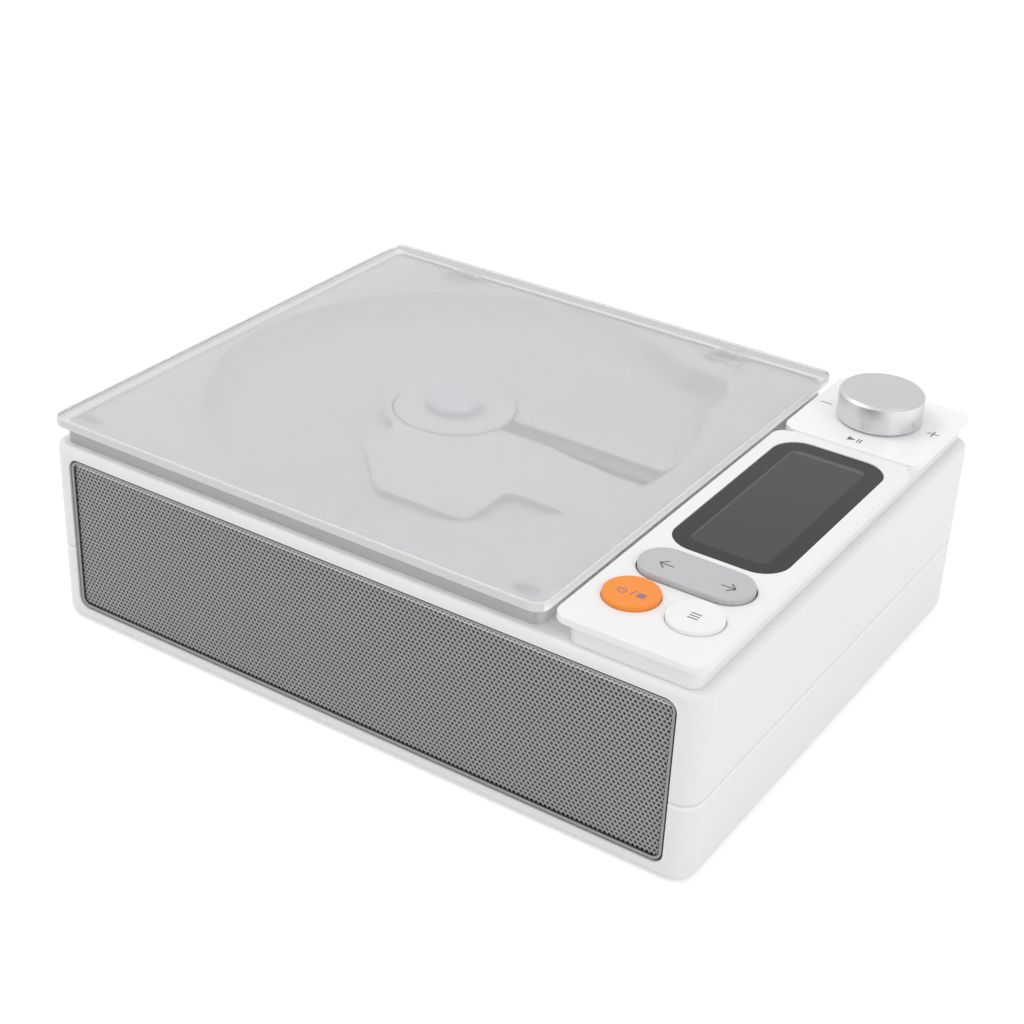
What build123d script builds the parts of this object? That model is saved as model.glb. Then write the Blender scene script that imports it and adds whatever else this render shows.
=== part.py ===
from build123d import *
import os
from math import cos, sin, radians

os.makedirs("parts", exist_ok=True)

# Wall mounted CD player, in millimetres.
# X runs along the front with +X towards the control panel, Y from the front to the back,
# Z up. The origin is the middle of the footprint, at the bottom of the rubber feet.

# Case
case_corner = 4.6
foot_height = 0.8
shell_height = 47.7
split_height = 19.9
wall = 2.2
floor_thick = 2.0
top_thick = 2.0
rim_round = 1.6
base_round = 1.4
seam_chamfer = 0.2

# Clearances
fit_gap = 0.15
slide_gap = 0.2
running_gap = 0.05
thread_gap = 0.05
rest_gap = 0.3

# Speaker opening, grille and baffle
opening_side = 5.7
opening_base = 3.0
opening_top = 2.8
opening_corner = 3.0
frame_gap = 0.3
frame_width = 0.95
frame_recess = 0.3
frame_round = 0.4
sheet_recess = 0.9
sheet_thick = 0.8
cloth_thick = 0.4
baffle_thick = 2.0
baffle_lap = 1.0
rib_thick = 1.6
rib_height = 10.0
rib_length = 12.0

# Speakers
speaker_inset = 38.3
speaker_size = 37.0
speaker_corner = 5.0
speaker_screw_inset = 3.4
surround_outer = 16.6
surround_seat = 1.6
surround_height = 1.5
cone_outer = 13.4
cone_depth = 4.6
cone_thick = 0.5
coil_radius = 6.5
cap_height = 1.8
flange_thick = 1.2
basket_depth = 8.0
basket_wall = 1.0
magnet_radius = 11.5
magnet_depth = 8.0

# Disc deck
deck_inset_left = 2.6
deck_inset_front = 2.6
deck_inset_back = 2.9
deck_corner = 2.6
deck_rise = 4.0
deck_plate = 1.8
deck_skirt = 1.8
deck_edge_round = 0.5
disc_radius = 60.0
disc_clearance = 2.25
well_margin_left = 3.15
well_margin_right = 7.35
well_margin_front = 6.95
well_margin_back = 3.05
well_depth = 5.7
well_wall = 1.6
well_floor = 1.6
notch_radius = 12.5
notch_offset = 57.0
notch_angle = 42.0

# Lid and its hinges
lid_overlap_left = 2.0
lid_overlap_right = 1.8
lid_overlap_front = 2.3
lid_overlap_back = 2.6
lid_panel_gap = 2.0
lid_corner = 3.6
lid_rise = 0.4
lid_thick = 2.5
lid_edge_round = 0.5
hinge_spacing = 84.0
hinge_width = 11.0
knuckle_width = 3.6
knuckle_radius = 1.4
pin_radius = 0.8
axis_drop = 2.5
axis_behind_deck = 0.5
leaf_thick = 1.0
leaf_length = 6.0
leaf_width = 8.0
leaf_tail = 1.0
leaf_screw_side = 1.6
leaf_screw_from_axis = 3.4
leaf_screw_radius = 0.8
leaf_screw_head = 1.3
leaf_screw_head_height = 0.6
leaf_screw_grip = 1.4
bracket_depth = 3.4
bracket_foot = 5.0
bracket_base = 1.2
bracket_screw_side = 3.2
bumper_length = 6.2
bumper_width = 3.2
bumper_inset_right = 7.9
bumper_inset_left = 6.4
bumper_inset_front = 6.4

# Control panel
panel_inset_right = 1.1
plate_width = 35.5
plate_inset_front = 0.4
plate_inset_back = 0.2
rear_plate_depth = 34.5
plate_gap = 1.5
plate_rib_drop = 0.5
plate_thick = 1.75
plate_corner = 3.6
plate_back_corner = 2.4
control_offset = 0.1
plate_round = 0.35
base_rise = 4.65
base_wall = 1.5
base_top = 1.2
base_inset_left = 3.4
base_inset_right = 1.4
base_inset_front = 1.2
base_inset_back = 1.4
base_corner = 2.6
panel_shelf = 1.9
panel_end_shelf = 8.0

# Screen
screen_width = 27.8
screen_corner = 6.9
screen_from_front = 39.4
screen_margin_back = 3.6
lens_thick = 1.55
module_border = 2.0
module_thick = 3.4
module_corner = 2.0

# Buttons, rocker and knob
button_radius = 6.3
button_spacing = 15.1
button_from_front = 15.8
button_rise = 1.1
button_edge = 0.35
button_neck = 3.8
button_flange = 4.7
button_flange_thick = 0.8
button_stem = 1.6
press_travel = 0.4
rocker_length = 27.0
rocker_width = 12.1
rocker_from_front = 29.9
rocker_rise = 1.5
rocker_edge = 0.5
rocker_gap = 0.35
rocker_lift = 0.55
rocker_neck_length = 20.0
rocker_neck_width = 7.6
rocker_switch_side = 8.0
rocker_axis_drop = 1.45
rocker_boss = 2.6
rocker_boss_height = 1.5
rocker_pin_radius = 0.8
ear_thick = 1.2
knob_radius = 10.5
knob_height = 7.1
knob_lift = 0.5
knob_edge = 0.6
knob_base_step = 0.3
knob_from_back = 16.7
knob_wall = 2.0
knob_crown = 1.6
shaft_radius = 3.0
bush_radius = 4.2
encoder_size = 12.0
plunger_radius = 1.2
plunger_height = 1.0

# Control board
panel_board_drop = 6.35
board_thick = 1.2
board_side_gap = 0.6
switch_size = 6.0
switch_height = 3.2
switch_cap_radius = 1.5
switch_cap_height = 0.45
standoff_radius = 2.0
standoff_side = 9.0

# Disc mechanism
platter_drop = 3.0
platter_radius = 15.3
platter_thick = 1.6
platter_boss = 4.5
hub_radius = 7.45
hub_seat = 1.2
hub_height = 1.9
hub_cone = 0.7
ball_radius = 0.9
ball_ring = 5.6
ball_sink = 0.55
ball_count = 3
motor_shaft = 1.0
motor_radius = 10.5
motor_height = 8.0
cover_drop = 0.4
cover_ring = 2.2
cover_gap = 0.5
cover_wall = 1.2
cover_corner = 2.5
cover_end_gap = 2.95
cover_end_slant = 2.3
cover_back = 10.4
cover_arm_front = 27.4
cover_arm_inset = 7.8
cover_box_inset = 25.3
cover_box_front = 44.5
cover_box_slant = 15.0
cover_heel = 6.2
slot_back = 2.8
slot_front = 3.3
slot_outer_front = 8.2
slot_step = 29.3
slot_end_gap = 0.5
chassis_drop = 2.8
chassis_thick = 1.4
chassis_left = 17.0
chassis_half = 29.5
chassis_corner = 3.0
chassis_window = 7.5
lug_thick = 2.2
lug_half = 3.2
damper_radius = 4.0
damper_core = 2.4
damper_flange = 1.0
damper_left = 11.0
damper_right = 52.0
damper_side = 25.5
damper_boss = 2.6
sled_start = 24.0
sled_length = 20.0
sled_height = 6.2
sled_below_chassis = 0.3
rod_radius = 1.5
rod_side = 13.5
rod_below_chassis = 3.5
screw_side = 18.2
screw_lap = 2.5
lead_radius = 1.5
turret_length = 5.6
turret_width = 4.8
lens_radius = 1.8
lens_rise = 0.5
lens_below_platter = 1.1
sled_motor_radius = 6.0
sled_motor_length = 9.0

# Fasteners
m2_radius = 0.95
m2_head = 1.9
m2_head_height = 1.2
m3_radius = 1.4
m3_head = 2.7
m3_head_height = 1.8
case_screw_depth = 52.0
case_boss = 3.8
case_boss_sink = 0.8
case_screw_grip = 9.0
screw_recess = 4.0
upper_post_drop = 4.0
deck_screw_inset = 7.0
deck_boss = 3.0
panel_screw_inset = 5.2
panel_screw_side = 6.0

# Boards, battery, sockets, feet and keyholes
main_board_width = 112.0
main_board_depth = 46.0
main_board_back = 2.0
main_board_rise = 5.0
main_post = 2.6
main_hole_inset = 3.5
battery_width = 62.0
battery_depth = 44.0
battery_height = 9.0
battery_front = -50.0
battery_corner = 2.0
usb_width = 9.0
usb_height = 3.3
usb_depth = 7.4
usb_x = 12.0
jack_x = -8.0
jack_radius = 3.0
jack_bore = 1.8
jack_depth = 12.0
jack_body = 7.0
jack_ring = 0.6
usb_wall = 0.35
usb_recess = 0.3
chip_xs = [-34.0, -8.0, 26.0]
chip_sizes = [12.0, 16.0, 10.0]
chip_height = 1.4
foot_radius = 5.0
foot_sink = 0.8
foot_inset_x = 19.0
foot_inset_y = 18.0
keyhole_spacing = 130.0
keyhole_y = 0.0
keyhole_entry = 4.6
keyhole_slot = 2.6
keyhole_travel = 10.0
keyhole_room = 4.5
keyhole_wall = 1.2

screw_tip_gap = 1.0

# Places and sizes that follow from the values above
well_radius = disc_radius + disc_clearance
case_width = (deck_inset_left + well_margin_left + 2 * well_radius + well_margin_right
              + lid_overlap_right + lid_panel_gap + plate_width + panel_inset_right)
case_depth = (deck_inset_front + well_margin_front + 2 * well_radius + well_margin_back
              + deck_inset_back)
left = -case_width / 2
right = case_width / 2
front = -case_depth / 2
back = case_depth / 2
base_z = foot_height
floor_z = base_z + floor_thick
split_z = base_z + split_height
rim_z = base_z + shell_height
ceiling_z = rim_z - top_thick
inner_left = left + wall
inner_right = right - wall
inner_front = front + wall
inner_back = back - wall

opening_left = left + opening_side
opening_right = right - opening_side
opening_z0 = base_z + opening_base
opening_z1 = rim_z - opening_top
opening_mid = (opening_z0 + opening_z1) / 2

plate_right = right - panel_inset_right
plate_left = plate_right - plate_width
plate_front = front + plate_inset_front
plate_back = back - plate_inset_back
base_top_z = rim_z + base_rise
base_under_z = base_top_z - base_top
plate_top_z = base_top_z + plate_thick
base_left = plate_left + base_inset_left
base_right = plate_right - base_inset_right
base_front = plate_front + base_inset_front
base_back = plate_back - base_inset_back
panel_x = (plate_left + plate_right) / 2 - control_offset
board_top_z = base_under_z - panel_board_drop + board_thick

deck_left = left + deck_inset_left
deck_front = front + deck_inset_front
deck_back = back - deck_inset_back
lid_left = deck_left - lid_overlap_left
lid_right = plate_left - lid_panel_gap
lid_front = deck_front - lid_overlap_front
lid_back = deck_back + lid_overlap_back
deck_right = lid_right - lid_overlap_right
deck_top_z = rim_z + deck_rise
deck_under_z = deck_top_z - deck_plate
lid_z = deck_top_z + lid_rise
lid_top_z = lid_z + lid_thick
lid_middle = (lid_left + lid_right) / 2

hub_x = deck_left + well_margin_left + well_radius
hub_y = deck_back - well_margin_back - well_radius
well_z = deck_top_z - well_depth
well_under_z = well_z - well_floor
notch_x = hub_x + notch_offset * cos(radians(notch_angle))
notch_y = hub_y + notch_offset * sin(radians(notch_angle))

platter_z = deck_top_z - platter_drop
cover_z = platter_z - cover_drop
chassis_z = well_under_z - chassis_drop
chassis_under_z = chassis_z - chassis_thick
rod_z = chassis_under_z - rod_below_chassis
sled_top_z = chassis_under_z - sled_below_chassis
sled_under_z = sled_top_z - sled_height
cover_reach = well_radius - cover_end_gap
slot_length = cover_reach - slot_end_gap
sled_travel = slot_length - slot_end_gap - sled_start - turret_length / 2
sled_x = hub_x + sled_start
lens_z = platter_z - lens_below_platter - lens_rise
lead_y = hub_y - screw_side
lug_left = hub_x + sled_start - sled_length / 2 - rest_gap - lug_thick
lug_right = hub_x + sled_start + sled_length / 2 + sled_travel + rest_gap

rear_plate_front = plate_back - rear_plate_depth
front_plate_back = rear_plate_front - plate_gap
screen_y0 = front + screen_from_front
screen_y1 = front_plate_back - screen_margin_back
button_y = front + button_from_front
button_xs = [panel_x - button_spacing / 2, panel_x + button_spacing / 2]
rocker_y = front + rocker_from_front
rocker_axis_z = base_under_z - rocker_axis_drop
rocker_ear = rocker_neck_width / 2 + rocker_gap
knob_y = back - knob_from_back
knob_z = plate_top_z + knob_lift
switch_z = board_top_z + switch_height + switch_cap_height
stem_z = switch_z + press_travel + running_gap
plunger_z = board_top_z + press_travel + running_gap
shaft_z = plunger_z + plunger_height
shaft_top_z = knob_z + knob_height - knob_crown - running_gap

hinge_y = deck_back + axis_behind_deck
hinge_z = lid_z - axis_drop
bracket_front = hinge_y - bracket_depth
bracket_screw_y = bracket_front - bracket_foot / 2
hinge_xs = [lid_middle - hinge_spacing / 2, lid_middle + hinge_spacing / 2]

baffle_back = inner_front + baffle_thick
speaker_xs = [opening_left + speaker_inset, opening_right - speaker_inset]
board_z = floor_z + main_board_rise
board_face_z = board_z + board_thick
port_z = board_face_z + usb_height / 2
jack_z = board_face_z + jack_radius
main_board_y = inner_back - main_board_back - main_board_depth / 2

case_screw_xs = [inner_left + case_boss - case_boss_sink, inner_right - case_boss + case_boss_sink]
case_screw_ys = [-case_screw_depth, case_screw_depth]


# Basic shapes
def block(x0, x1, y0, y1, z0, z1, corner=0.0):
    outline = RectangleRounded(x1 - x0, y1 - y0, corner) if corner else Rectangle(x1 - x0, y1 - y0)
    return Pos((x0 + x1) / 2, (y0 + y1) / 2, z0) * extrude(outline, z1 - z0)


def front_block(x0, x1, z0, z1, y0, y1, corner=0.0):
    outline = RectangleRounded(x1 - x0, z1 - z0, corner) if corner else Rectangle(x1 - x0, z1 - z0)
    return Pos((x0 + x1) / 2, y0, (z0 + z1) / 2) * Rot(-90, 0, 0) * extrude(outline, y1 - y0)


def rod(x, y, z0, z1, radius):
    return Pos(x, y, z0) * extrude(Circle(radius), z1 - z0)


def rod_x(x0, x1, y, z, radius):
    return Pos(x0, y, z) * Rot(0, 90, 0) * extrude(Circle(radius), x1 - x0)


def rod_y(x, y0, y1, z, radius):
    return Pos(x, y0, z) * Rot(-90, 0, 0) * extrude(Circle(radius), y1 - y0)


def pill(x, y, length, width, z0, z1):
    return Pos(x, y, z0) * extrude(SlotOverall(length, width), z1 - z0)


def top_edges(shape):
    return shape.edges().group_by(Axis.Z)[-1]


def bottom_edges(shape):
    return shape.edges().group_by(Axis.Z)[0]


# An upright screw. Its head starts at head_z and lies on the side away from the tip.
def screw(x, y, head_z, tip_z, radius, head, head_height):
    seat = head_z - head_height if tip_z > head_z else head_z
    shank = rod(x, y, min(head_z, tip_z), max(head_z, tip_z), radius)
    body = shank + rod(x, y, seat, seat + head_height, head)
    face = seat if tip_z > head_z else seat + head_height
    return body - block(x - head, x + head, y - radius / 4, y + radius / 4,
                        face - head_height / 4, face + head_height / 4)


def save(name, *solids):
    shape = solids[0] if len(solids) == 1 else Compound(children=list(solids))
    export_step(shape, f"parts/{name}.step")


# Case shells
def front_opening():
    return front_block(opening_left, opening_right, opening_z0, opening_z1,
                       front - wall, inner_front + wall, opening_corner)


def port_cuts():
    usb = front_block(usb_x - usb_width / 2 - fit_gap, usb_x + usb_width / 2 + fit_gap,
                      port_z - usb_height / 2 - fit_gap, port_z + usb_height / 2 + fit_gap,
                      inner_back - wall, back + wall, usb_height / 2 - fit_gap)
    jack = rod_y(jack_x, inner_back - wall, back + wall, jack_z, jack_radius + fit_gap)
    return usb + jack


def keyhole_cut(x):
    entry = rod(x, keyhole_y, base_z - floor_thick, floor_z + floor_thick, keyhole_entry)
    neck = Pos(x, keyhole_y + keyhole_travel / 2, base_z - floor_thick) * Rot(0, 0, 90) * extrude(
        SlotOverall(keyhole_travel + 2 * keyhole_slot, 2 * keyhole_slot), 3 * floor_thick)
    return entry + neck


# The closed pocket that a screw's head slides in, grown by a wall.
def keyhole_pocket(x, growth):
    reach = keyhole_entry + growth
    return Pos(x, keyhole_y + keyhole_travel / 2, floor_z) * Rot(0, 0, 90) * extrude(
        SlotOverall(keyhole_travel + 2 * reach, 2 * reach), keyhole_room + growth)


def lower_shell():
    body = block(left, right, front, back, base_z, split_z, case_corner)
    body = fillet(bottom_edges(body), base_round)
    body = chamfer(top_edges(body), seam_chamfer)
    body -= block(inner_left, inner_right, inner_front, inner_back, floor_z, split_z + wall,
                  case_corner - wall)
    for x in case_screw_xs:
        for y in case_screw_ys:
            body += rod(x, y, base_z + floor_thick / 2, split_z, case_boss)
    for x, y in main_holes():
        body += rod(x, y, floor_z, board_z, main_post)
        body -= rod(x, y, floor_z, board_z, m2_radius + thread_gap)
    rib_y = inner_front + baffle_thick + fit_gap
    for x in [inner_left + fit_gap, inner_right - fit_gap - rib_length]:
        body += block(x, x + rib_length, rib_y, rib_y + rib_thick, floor_z, floor_z + rib_height)
    body -= front_opening()
    body -= port_cuts()
    for x in case_screw_xs:
        for y in case_screw_ys:
            body -= rod(x, y, base_z, split_z, m3_radius + fit_gap)
            body -= rod(x, y, base_z, base_z + screw_recess, m3_head + fit_gap)
    for x, y in foot_places():
        body -= rod(x, y, base_z, base_z + foot_sink, foot_radius)
    for x in (-keyhole_spacing / 2, keyhole_spacing / 2):
        body += keyhole_pocket(x, keyhole_wall)
        body -= keyhole_pocket(x, 0) + keyhole_cut(x)
    return body


def foot_places():
    return [(sx * (case_width / 2 - foot_inset_x), sy * (case_depth / 2 - foot_inset_y))
            for sx in (-1, 1) for sy in (-1, 1)]


def main_holes():
    half_x = main_board_width / 2 - main_hole_inset
    half_y = main_board_depth / 2 - main_hole_inset
    return [(sx * half_x, main_board_y + sy * half_y) for sx in (-1, 1) for sy in (-1, 1)]


def well_outline(growth):
    notch = Pos(notch_x, notch_y) * Circle(notch_radius + growth)
    return Pos(hub_x, hub_y) * Circle(well_radius + growth) + notch


def panel_opening():
    return block(base_left + panel_shelf, base_right - panel_shelf, base_front + panel_end_shelf,
                 base_back - panel_end_shelf, ceiling_z - top_thick, rim_z + top_thick, base_corner)


def upper_shell():
    body = block(left, right, front, back, split_z, rim_z, case_corner)
    body = fillet(top_edges(body), rim_round)
    body = chamfer(bottom_edges(body), seam_chamfer)
    body -= block(inner_left, inner_right, inner_front, inner_back, split_z - wall, ceiling_z,
                  case_corner - wall)
    for x in case_screw_xs:
        for y in case_screw_ys:
            body += rod(x, y, split_z, rim_z - upper_post_drop, case_boss)
            body -= rod(x, y, split_z, split_z + case_screw_grip, m3_radius + thread_gap)
    body -= front_opening()
    body -= Pos(0, 0, ceiling_z - top_thick) * extrude(well_outline(well_wall + rest_gap), 3 * top_thick)
    body -= panel_opening()
    for x, y in deck_screw_places():
        body -= rod(x, y, ceiling_z, rim_z, m2_radius + fit_gap)
    for x, y in panel_screw_places():
        body -= rod(x, y, ceiling_z, rim_z, m2_radius + fit_gap)
    for x in hinge_xs:
        for side in [-1, 1]:
            body -= rod(x + side * bracket_screw_side, bracket_screw_y, ceiling_z, rim_z,
                        m2_radius + thread_gap)
    return body


def rubber_feet():
    return [rod(x, y, 0, base_z + foot_sink, foot_radius - running_gap) for x, y in foot_places()]


def case_screws():
    seat = base_z + screw_recess
    return [screw(x, y, seat, split_z + case_screw_grip - screw_tip_gap, m3_radius, m3_head, m3_head_height)
            for x in case_screw_xs for y in case_screw_ys]


# Speaker front
def grille_frame():
    y0 = front + frame_recess
    outer = front_block(opening_left + frame_gap, opening_right - frame_gap, opening_z0 + frame_gap,
                        opening_z1 - frame_gap, y0, inner_front, opening_corner - frame_gap)
    edge = frame_gap + frame_width
    inner = front_block(opening_left + edge, opening_right - edge, opening_z0 + edge, opening_z1 - edge,
                        y0 - wall, inner_front + wall, opening_corner - edge)
    ring = outer - inner
    return fillet(ring.edges().group_by(Axis.Y)[0], frame_round)


def behind_frame(y0, y1):
    edge = frame_gap + frame_width + running_gap
    return front_block(opening_left + edge, opening_right - edge, opening_z0 + edge, opening_z1 - edge,
                       y0, y1, opening_corner - edge)


def speaker_screw_places(x):
    reach = speaker_size / 2 - speaker_screw_inset
    return [(x + sx * reach, opening_mid + sz * reach) for sx in (-1, 1) for sz in (-1, 1)]


def speaker_baffle():
    body = front_block(opening_left - baffle_lap, opening_right + baffle_lap, floor_z + fit_gap,
                       ceiling_z - fit_gap, inner_front, baffle_back)
    for x in speaker_xs:
        body -= rod_y(x, inner_front, baffle_back, opening_mid, surround_outer + slide_gap)
        for sx, sz in speaker_screw_places(x):
            body -= rod_y(sx, inner_front, baffle_back, sz, m2_radius + thread_gap)
    return body


# A ring turned about a speaker's axis from (radius, depth behind the baffle) points.
def turned(x, points):
    outline = make_face(Polyline(*points, close=True))
    return Pos(x, baffle_back, opening_mid) * revolve(outline, Axis.Y)


def speaker_basket(x):
    half = speaker_size / 2
    body = front_block(x - half, x + half, opening_mid - half, opening_mid + half, baffle_back,
                       baffle_back + flange_thick, speaker_corner)
    mouth = surround_outer - surround_seat
    body += turned(x, [(mouth, 0), (mouth + basket_wall, 0), (magnet_radius, basket_depth),
                       (coil_radius, basket_depth), (coil_radius, basket_depth - basket_wall),
                       (magnet_radius - basket_wall, basket_depth - basket_wall)])
    body -= turned(x, [(0, 0), (mouth, 0), (magnet_radius - basket_wall, basket_depth - basket_wall),
                       (0, basket_depth - basket_wall)])
    for sx, sz in speaker_screw_places(x):
        body -= rod_y(sx, baffle_back, baffle_back + flange_thick, sz, m2_radius + fit_gap)
    return body


def speaker_surround(x):
    middle = (cone_outer + surround_outer) / 2
    return turned(x, [(cone_outer, 0), (surround_outer, 0), (surround_outer, -cone_thick),
                      (middle, -surround_height), (cone_outer, -cone_thick)])


def speaker_cone(x):
    cone = turned(x, [(coil_radius, cone_depth), (cone_outer, -cone_thick), (cone_outer, 0),
                      (coil_radius, cone_depth + cone_thick)])
    middle = cone_depth - 0.75 * cap_height
    cap = turned(x, [(0, cone_depth - cap_height), (coil_radius / 2, middle), (coil_radius, cone_depth),
                     (coil_radius, cone_depth + cone_thick), (0, cone_depth + cone_thick)])
    return cone + cap


def speaker_magnet(x):
    y0 = baffle_back + basket_depth
    body = rod_y(x, y0, y0 + magnet_depth, opening_mid, magnet_radius)
    return chamfer(body.edges().group_by(Axis.Y)[-1], basket_wall / 2)


def speaker_screws():
    screws = []
    for x in speaker_xs:
        for sx, sz in speaker_screw_places(x):
            y1 = baffle_back + flange_thick
            screws.append(rod_y(sx, inner_front + fit_gap, y1, sz, m2_radius)
                          + rod_y(sx, y1, y1 + m2_head_height, sz, m2_head))
    return screws


# Disc deck
def deck_block(inset, z0, z1):
    return block(deck_left + inset, deck_right - inset, deck_front + inset, deck_back - inset,
                 z0, z1, deck_corner - inset)


def deck_screw_places():
    return [(x, y) for x in (deck_left + deck_screw_inset, deck_right - deck_screw_inset)
            for y in (deck_front + deck_screw_inset, deck_back - deck_screw_inset)]


def damper_places():
    return [(hub_x + x, hub_y + y)
            for x in (-damper_left, damper_right) for y in (-damper_side, damper_side)]


# The raised cover over the mechanism, about the hub.
def cover_outline():
    box_x = cover_reach - cover_box_inset
    wing = Polyline((0, cover_back), (-cover_heel, 0), (-cover_heel, cover_box_slant - cover_box_front),
                    (cover_box_slant - cover_heel, -cover_box_front), (box_x, -cover_box_front),
                    (box_x, -cover_arm_front), (cover_reach - cover_arm_inset, -cover_arm_front),
                    (cover_reach - cover_end_slant, -cover_back), (cover_reach, cover_back), close=True)
    body = make_face(wing)
    body = fillet(body.vertices().sort_by(Axis.Y)[:7], cover_corner)
    return body + Circle(platter_radius + cover_gap + cover_ring)


def slot_outline():
    start = platter_radius
    return make_face(Polyline((start, slot_back), (slot_length, slot_back), (slot_length, -slot_outer_front),
                              (slot_step, -slot_front), (start, -slot_front), close=True))


# The hole in the well's floor for the turntable and the laser.
def floor_opening():
    path = Pos(slot_length / 2, 0) * Rectangle(slot_length, turret_width + 2 * slide_gap)
    return path + Circle(platter_radius + cover_gap)


def at_hub(sketch, z0, z1):
    return Pos(hub_x, hub_y, z0) * extrude(sketch, z1 - z0)


def disc_deck():
    body = deck_block(0, rim_z, deck_top_z)
    body = fillet(top_edges(body), deck_edge_round)
    body -= deck_block(deck_skirt, rim_z, deck_under_z)
    cup = Pos(0, 0, well_under_z) * extrude(well_outline(well_wall), deck_under_z - well_under_z)
    body += cup
    for x, y in deck_screw_places():
        body += rod(x, y, rim_z, deck_under_z, deck_boss)
        body -= rod(x, y, rim_z, deck_under_z, m2_radius + thread_gap)
    for x in hinge_xs:
        half = hinge_width / 2 + slide_gap
        foot_front = bracket_front - bracket_foot
        body += block(x - half - deck_skirt, x + half + deck_skirt, foot_front - deck_skirt,
                      deck_back - deck_skirt / 2, rim_z, deck_under_z)
        body -= block(x - half, x + half, foot_front - slide_gap, deck_back, rim_z, deck_top_z)
    for x, y in damper_places():
        body += rod(x, y, chassis_z + damper_flange, well_under_z, damper_boss)
        body -= rod(x, y, chassis_z + damper_flange, well_z - well_floor / 2, m2_radius + thread_gap)
    body -= Pos(0, 0, well_z) * extrude(well_outline(0), deck_top_z)
    body -= at_hub(floor_opening(), chassis_z, well_z)
    return body


def mechanism_cover():
    body = at_hub(cover_outline(), well_z, cover_z)
    body = fillet(top_edges(body), cover_wall / 3)
    body -= at_hub(offset(cover_outline(), -cover_wall), well_z, cover_z - cover_wall)
    body += at_hub(Circle(platter_radius + cover_gap + cover_ring), well_z, cover_z - cover_wall)
    body -= at_hub(slot_outline(), well_z, cover_z)
    body -= at_hub(Circle(platter_radius + cover_gap), well_z, cover_z)
    return body


def deck_screws():
    return [screw(x, y, ceiling_z, deck_under_z - screw_tip_gap, m2_radius, m2_head, m2_head_height)
            for x, y in deck_screw_places()]


# Lid and hinges
def lid():
    body = block(lid_left, lid_right, lid_front, lid_back, lid_z, lid_top_z, lid_corner)
    body = fillet(top_edges(body) + bottom_edges(body), lid_edge_round)
    for x, y in leaf_screw_places():
        body -= rod(x, y, lid_z, lid_z + leaf_screw_grip + fit_gap, leaf_screw_radius + thread_gap)
    return body


def lid_bumpers():
    y = lid_front + bumper_inset_front
    return [pill(x, y, bumper_length, bumper_width, deck_top_z, lid_z)
            for x in (lid_left + bumper_inset_left, lid_right - bumper_inset_right)]


def leaf_screw_places():
    y = hinge_y - leaf_screw_from_axis
    return [(x + side * leaf_screw_side, y) for x in hinge_xs for side in (-1, 1)]


def hinge_leaf(x):
    body = block(x - leaf_width / 2, x + leaf_width / 2, hinge_y - leaf_length, hinge_y + leaf_tail,
                 lid_z - leaf_thick, lid_z)
    body += rod_x(x - knuckle_width / 2, x + knuckle_width / 2, hinge_y, hinge_z, knuckle_radius)
    body += block(x - knuckle_width / 2, x + knuckle_width / 2, hinge_y - knuckle_radius / 2,
                  hinge_y + knuckle_radius / 2, hinge_z, lid_z - leaf_thick)
    body -= rod_x(x - knuckle_width, x + knuckle_width, hinge_y, hinge_z, pin_radius + running_gap)
    for sx, sy in leaf_screw_places():
        body -= rod(sx, sy, lid_z - leaf_thick, lid_z, leaf_screw_radius + fit_gap)
    return body


def hinge_bracket(x):
    half = hinge_width / 2
    slot = knuckle_width / 2 + slide_gap
    body = block(x - half, x + half, bracket_front - bracket_foot, bracket_front, rim_z,
                 rim_z + bracket_base)
    for x0, x1 in ((x - half, x - slot), (x + slot, x + half)):
        body += block(x0, x1, bracket_front, hinge_y, rim_z, hinge_z)
        body += rod_x(x0, x1, hinge_y, hinge_z, knuckle_radius)
    body -= rod_x(x - half, x + half, hinge_y, hinge_z, pin_radius + running_gap)
    for side in (-1, 1):
        body -= rod(x + side * bracket_screw_side, bracket_screw_y, rim_z, rim_z + bracket_base,
                    m2_radius + fit_gap)
    return body


def hinge_pins():
    return [rod_x(x - hinge_width / 2, x + hinge_width / 2, hinge_y, hinge_z, pin_radius) for x in hinge_xs]


def leaf_screws():
    return [screw(x, y, lid_z - leaf_thick, lid_z + leaf_screw_grip, leaf_screw_radius, leaf_screw_head,
                  leaf_screw_head_height) for x, y in leaf_screw_places()]


def bracket_screws():
    tip_z = ceiling_z - screw_tip_gap
    return [screw(x + side * bracket_screw_side, bracket_screw_y, rim_z + bracket_base, tip_z,
                  m2_radius, m2_head, m2_head_height / 2) for x in hinge_xs for side in (-1, 1)]


# Control panel
def panel_screw_places():
    return [(x, y) for x in (base_left + panel_screw_side, base_right - panel_screw_side)
            for y in (base_front + panel_screw_inset, base_back - panel_screw_inset)]


def standoff_places():
    front_y = (rocker_y + rocker_ear + screen_y0 + module_border) / 2
    back_y = (screen_y1 - module_border + knob_y - encoder_size / 2) / 2
    return [(panel_x + side * standoff_side, y) for side in (-1, 1) for y in (front_y, back_y)]


def screen_shape(growth, z0, z1):
    half = screen_width / 2 + growth
    return block(panel_x - half, panel_x + half, screen_y0 - growth, screen_y1 + growth, z0, z1,
                 screen_corner + growth)


def rocker_cap(growth, z0, z1):
    return pill(panel_x, rocker_y, rocker_length + 2 * growth, rocker_width + 2 * growth, z0, z1)


def rocker_neck(growth, z0, z1):
    return pill(panel_x, rocker_y, rocker_neck_length + 2 * growth, rocker_neck_width + 2 * growth,
                z0, z1)


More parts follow.
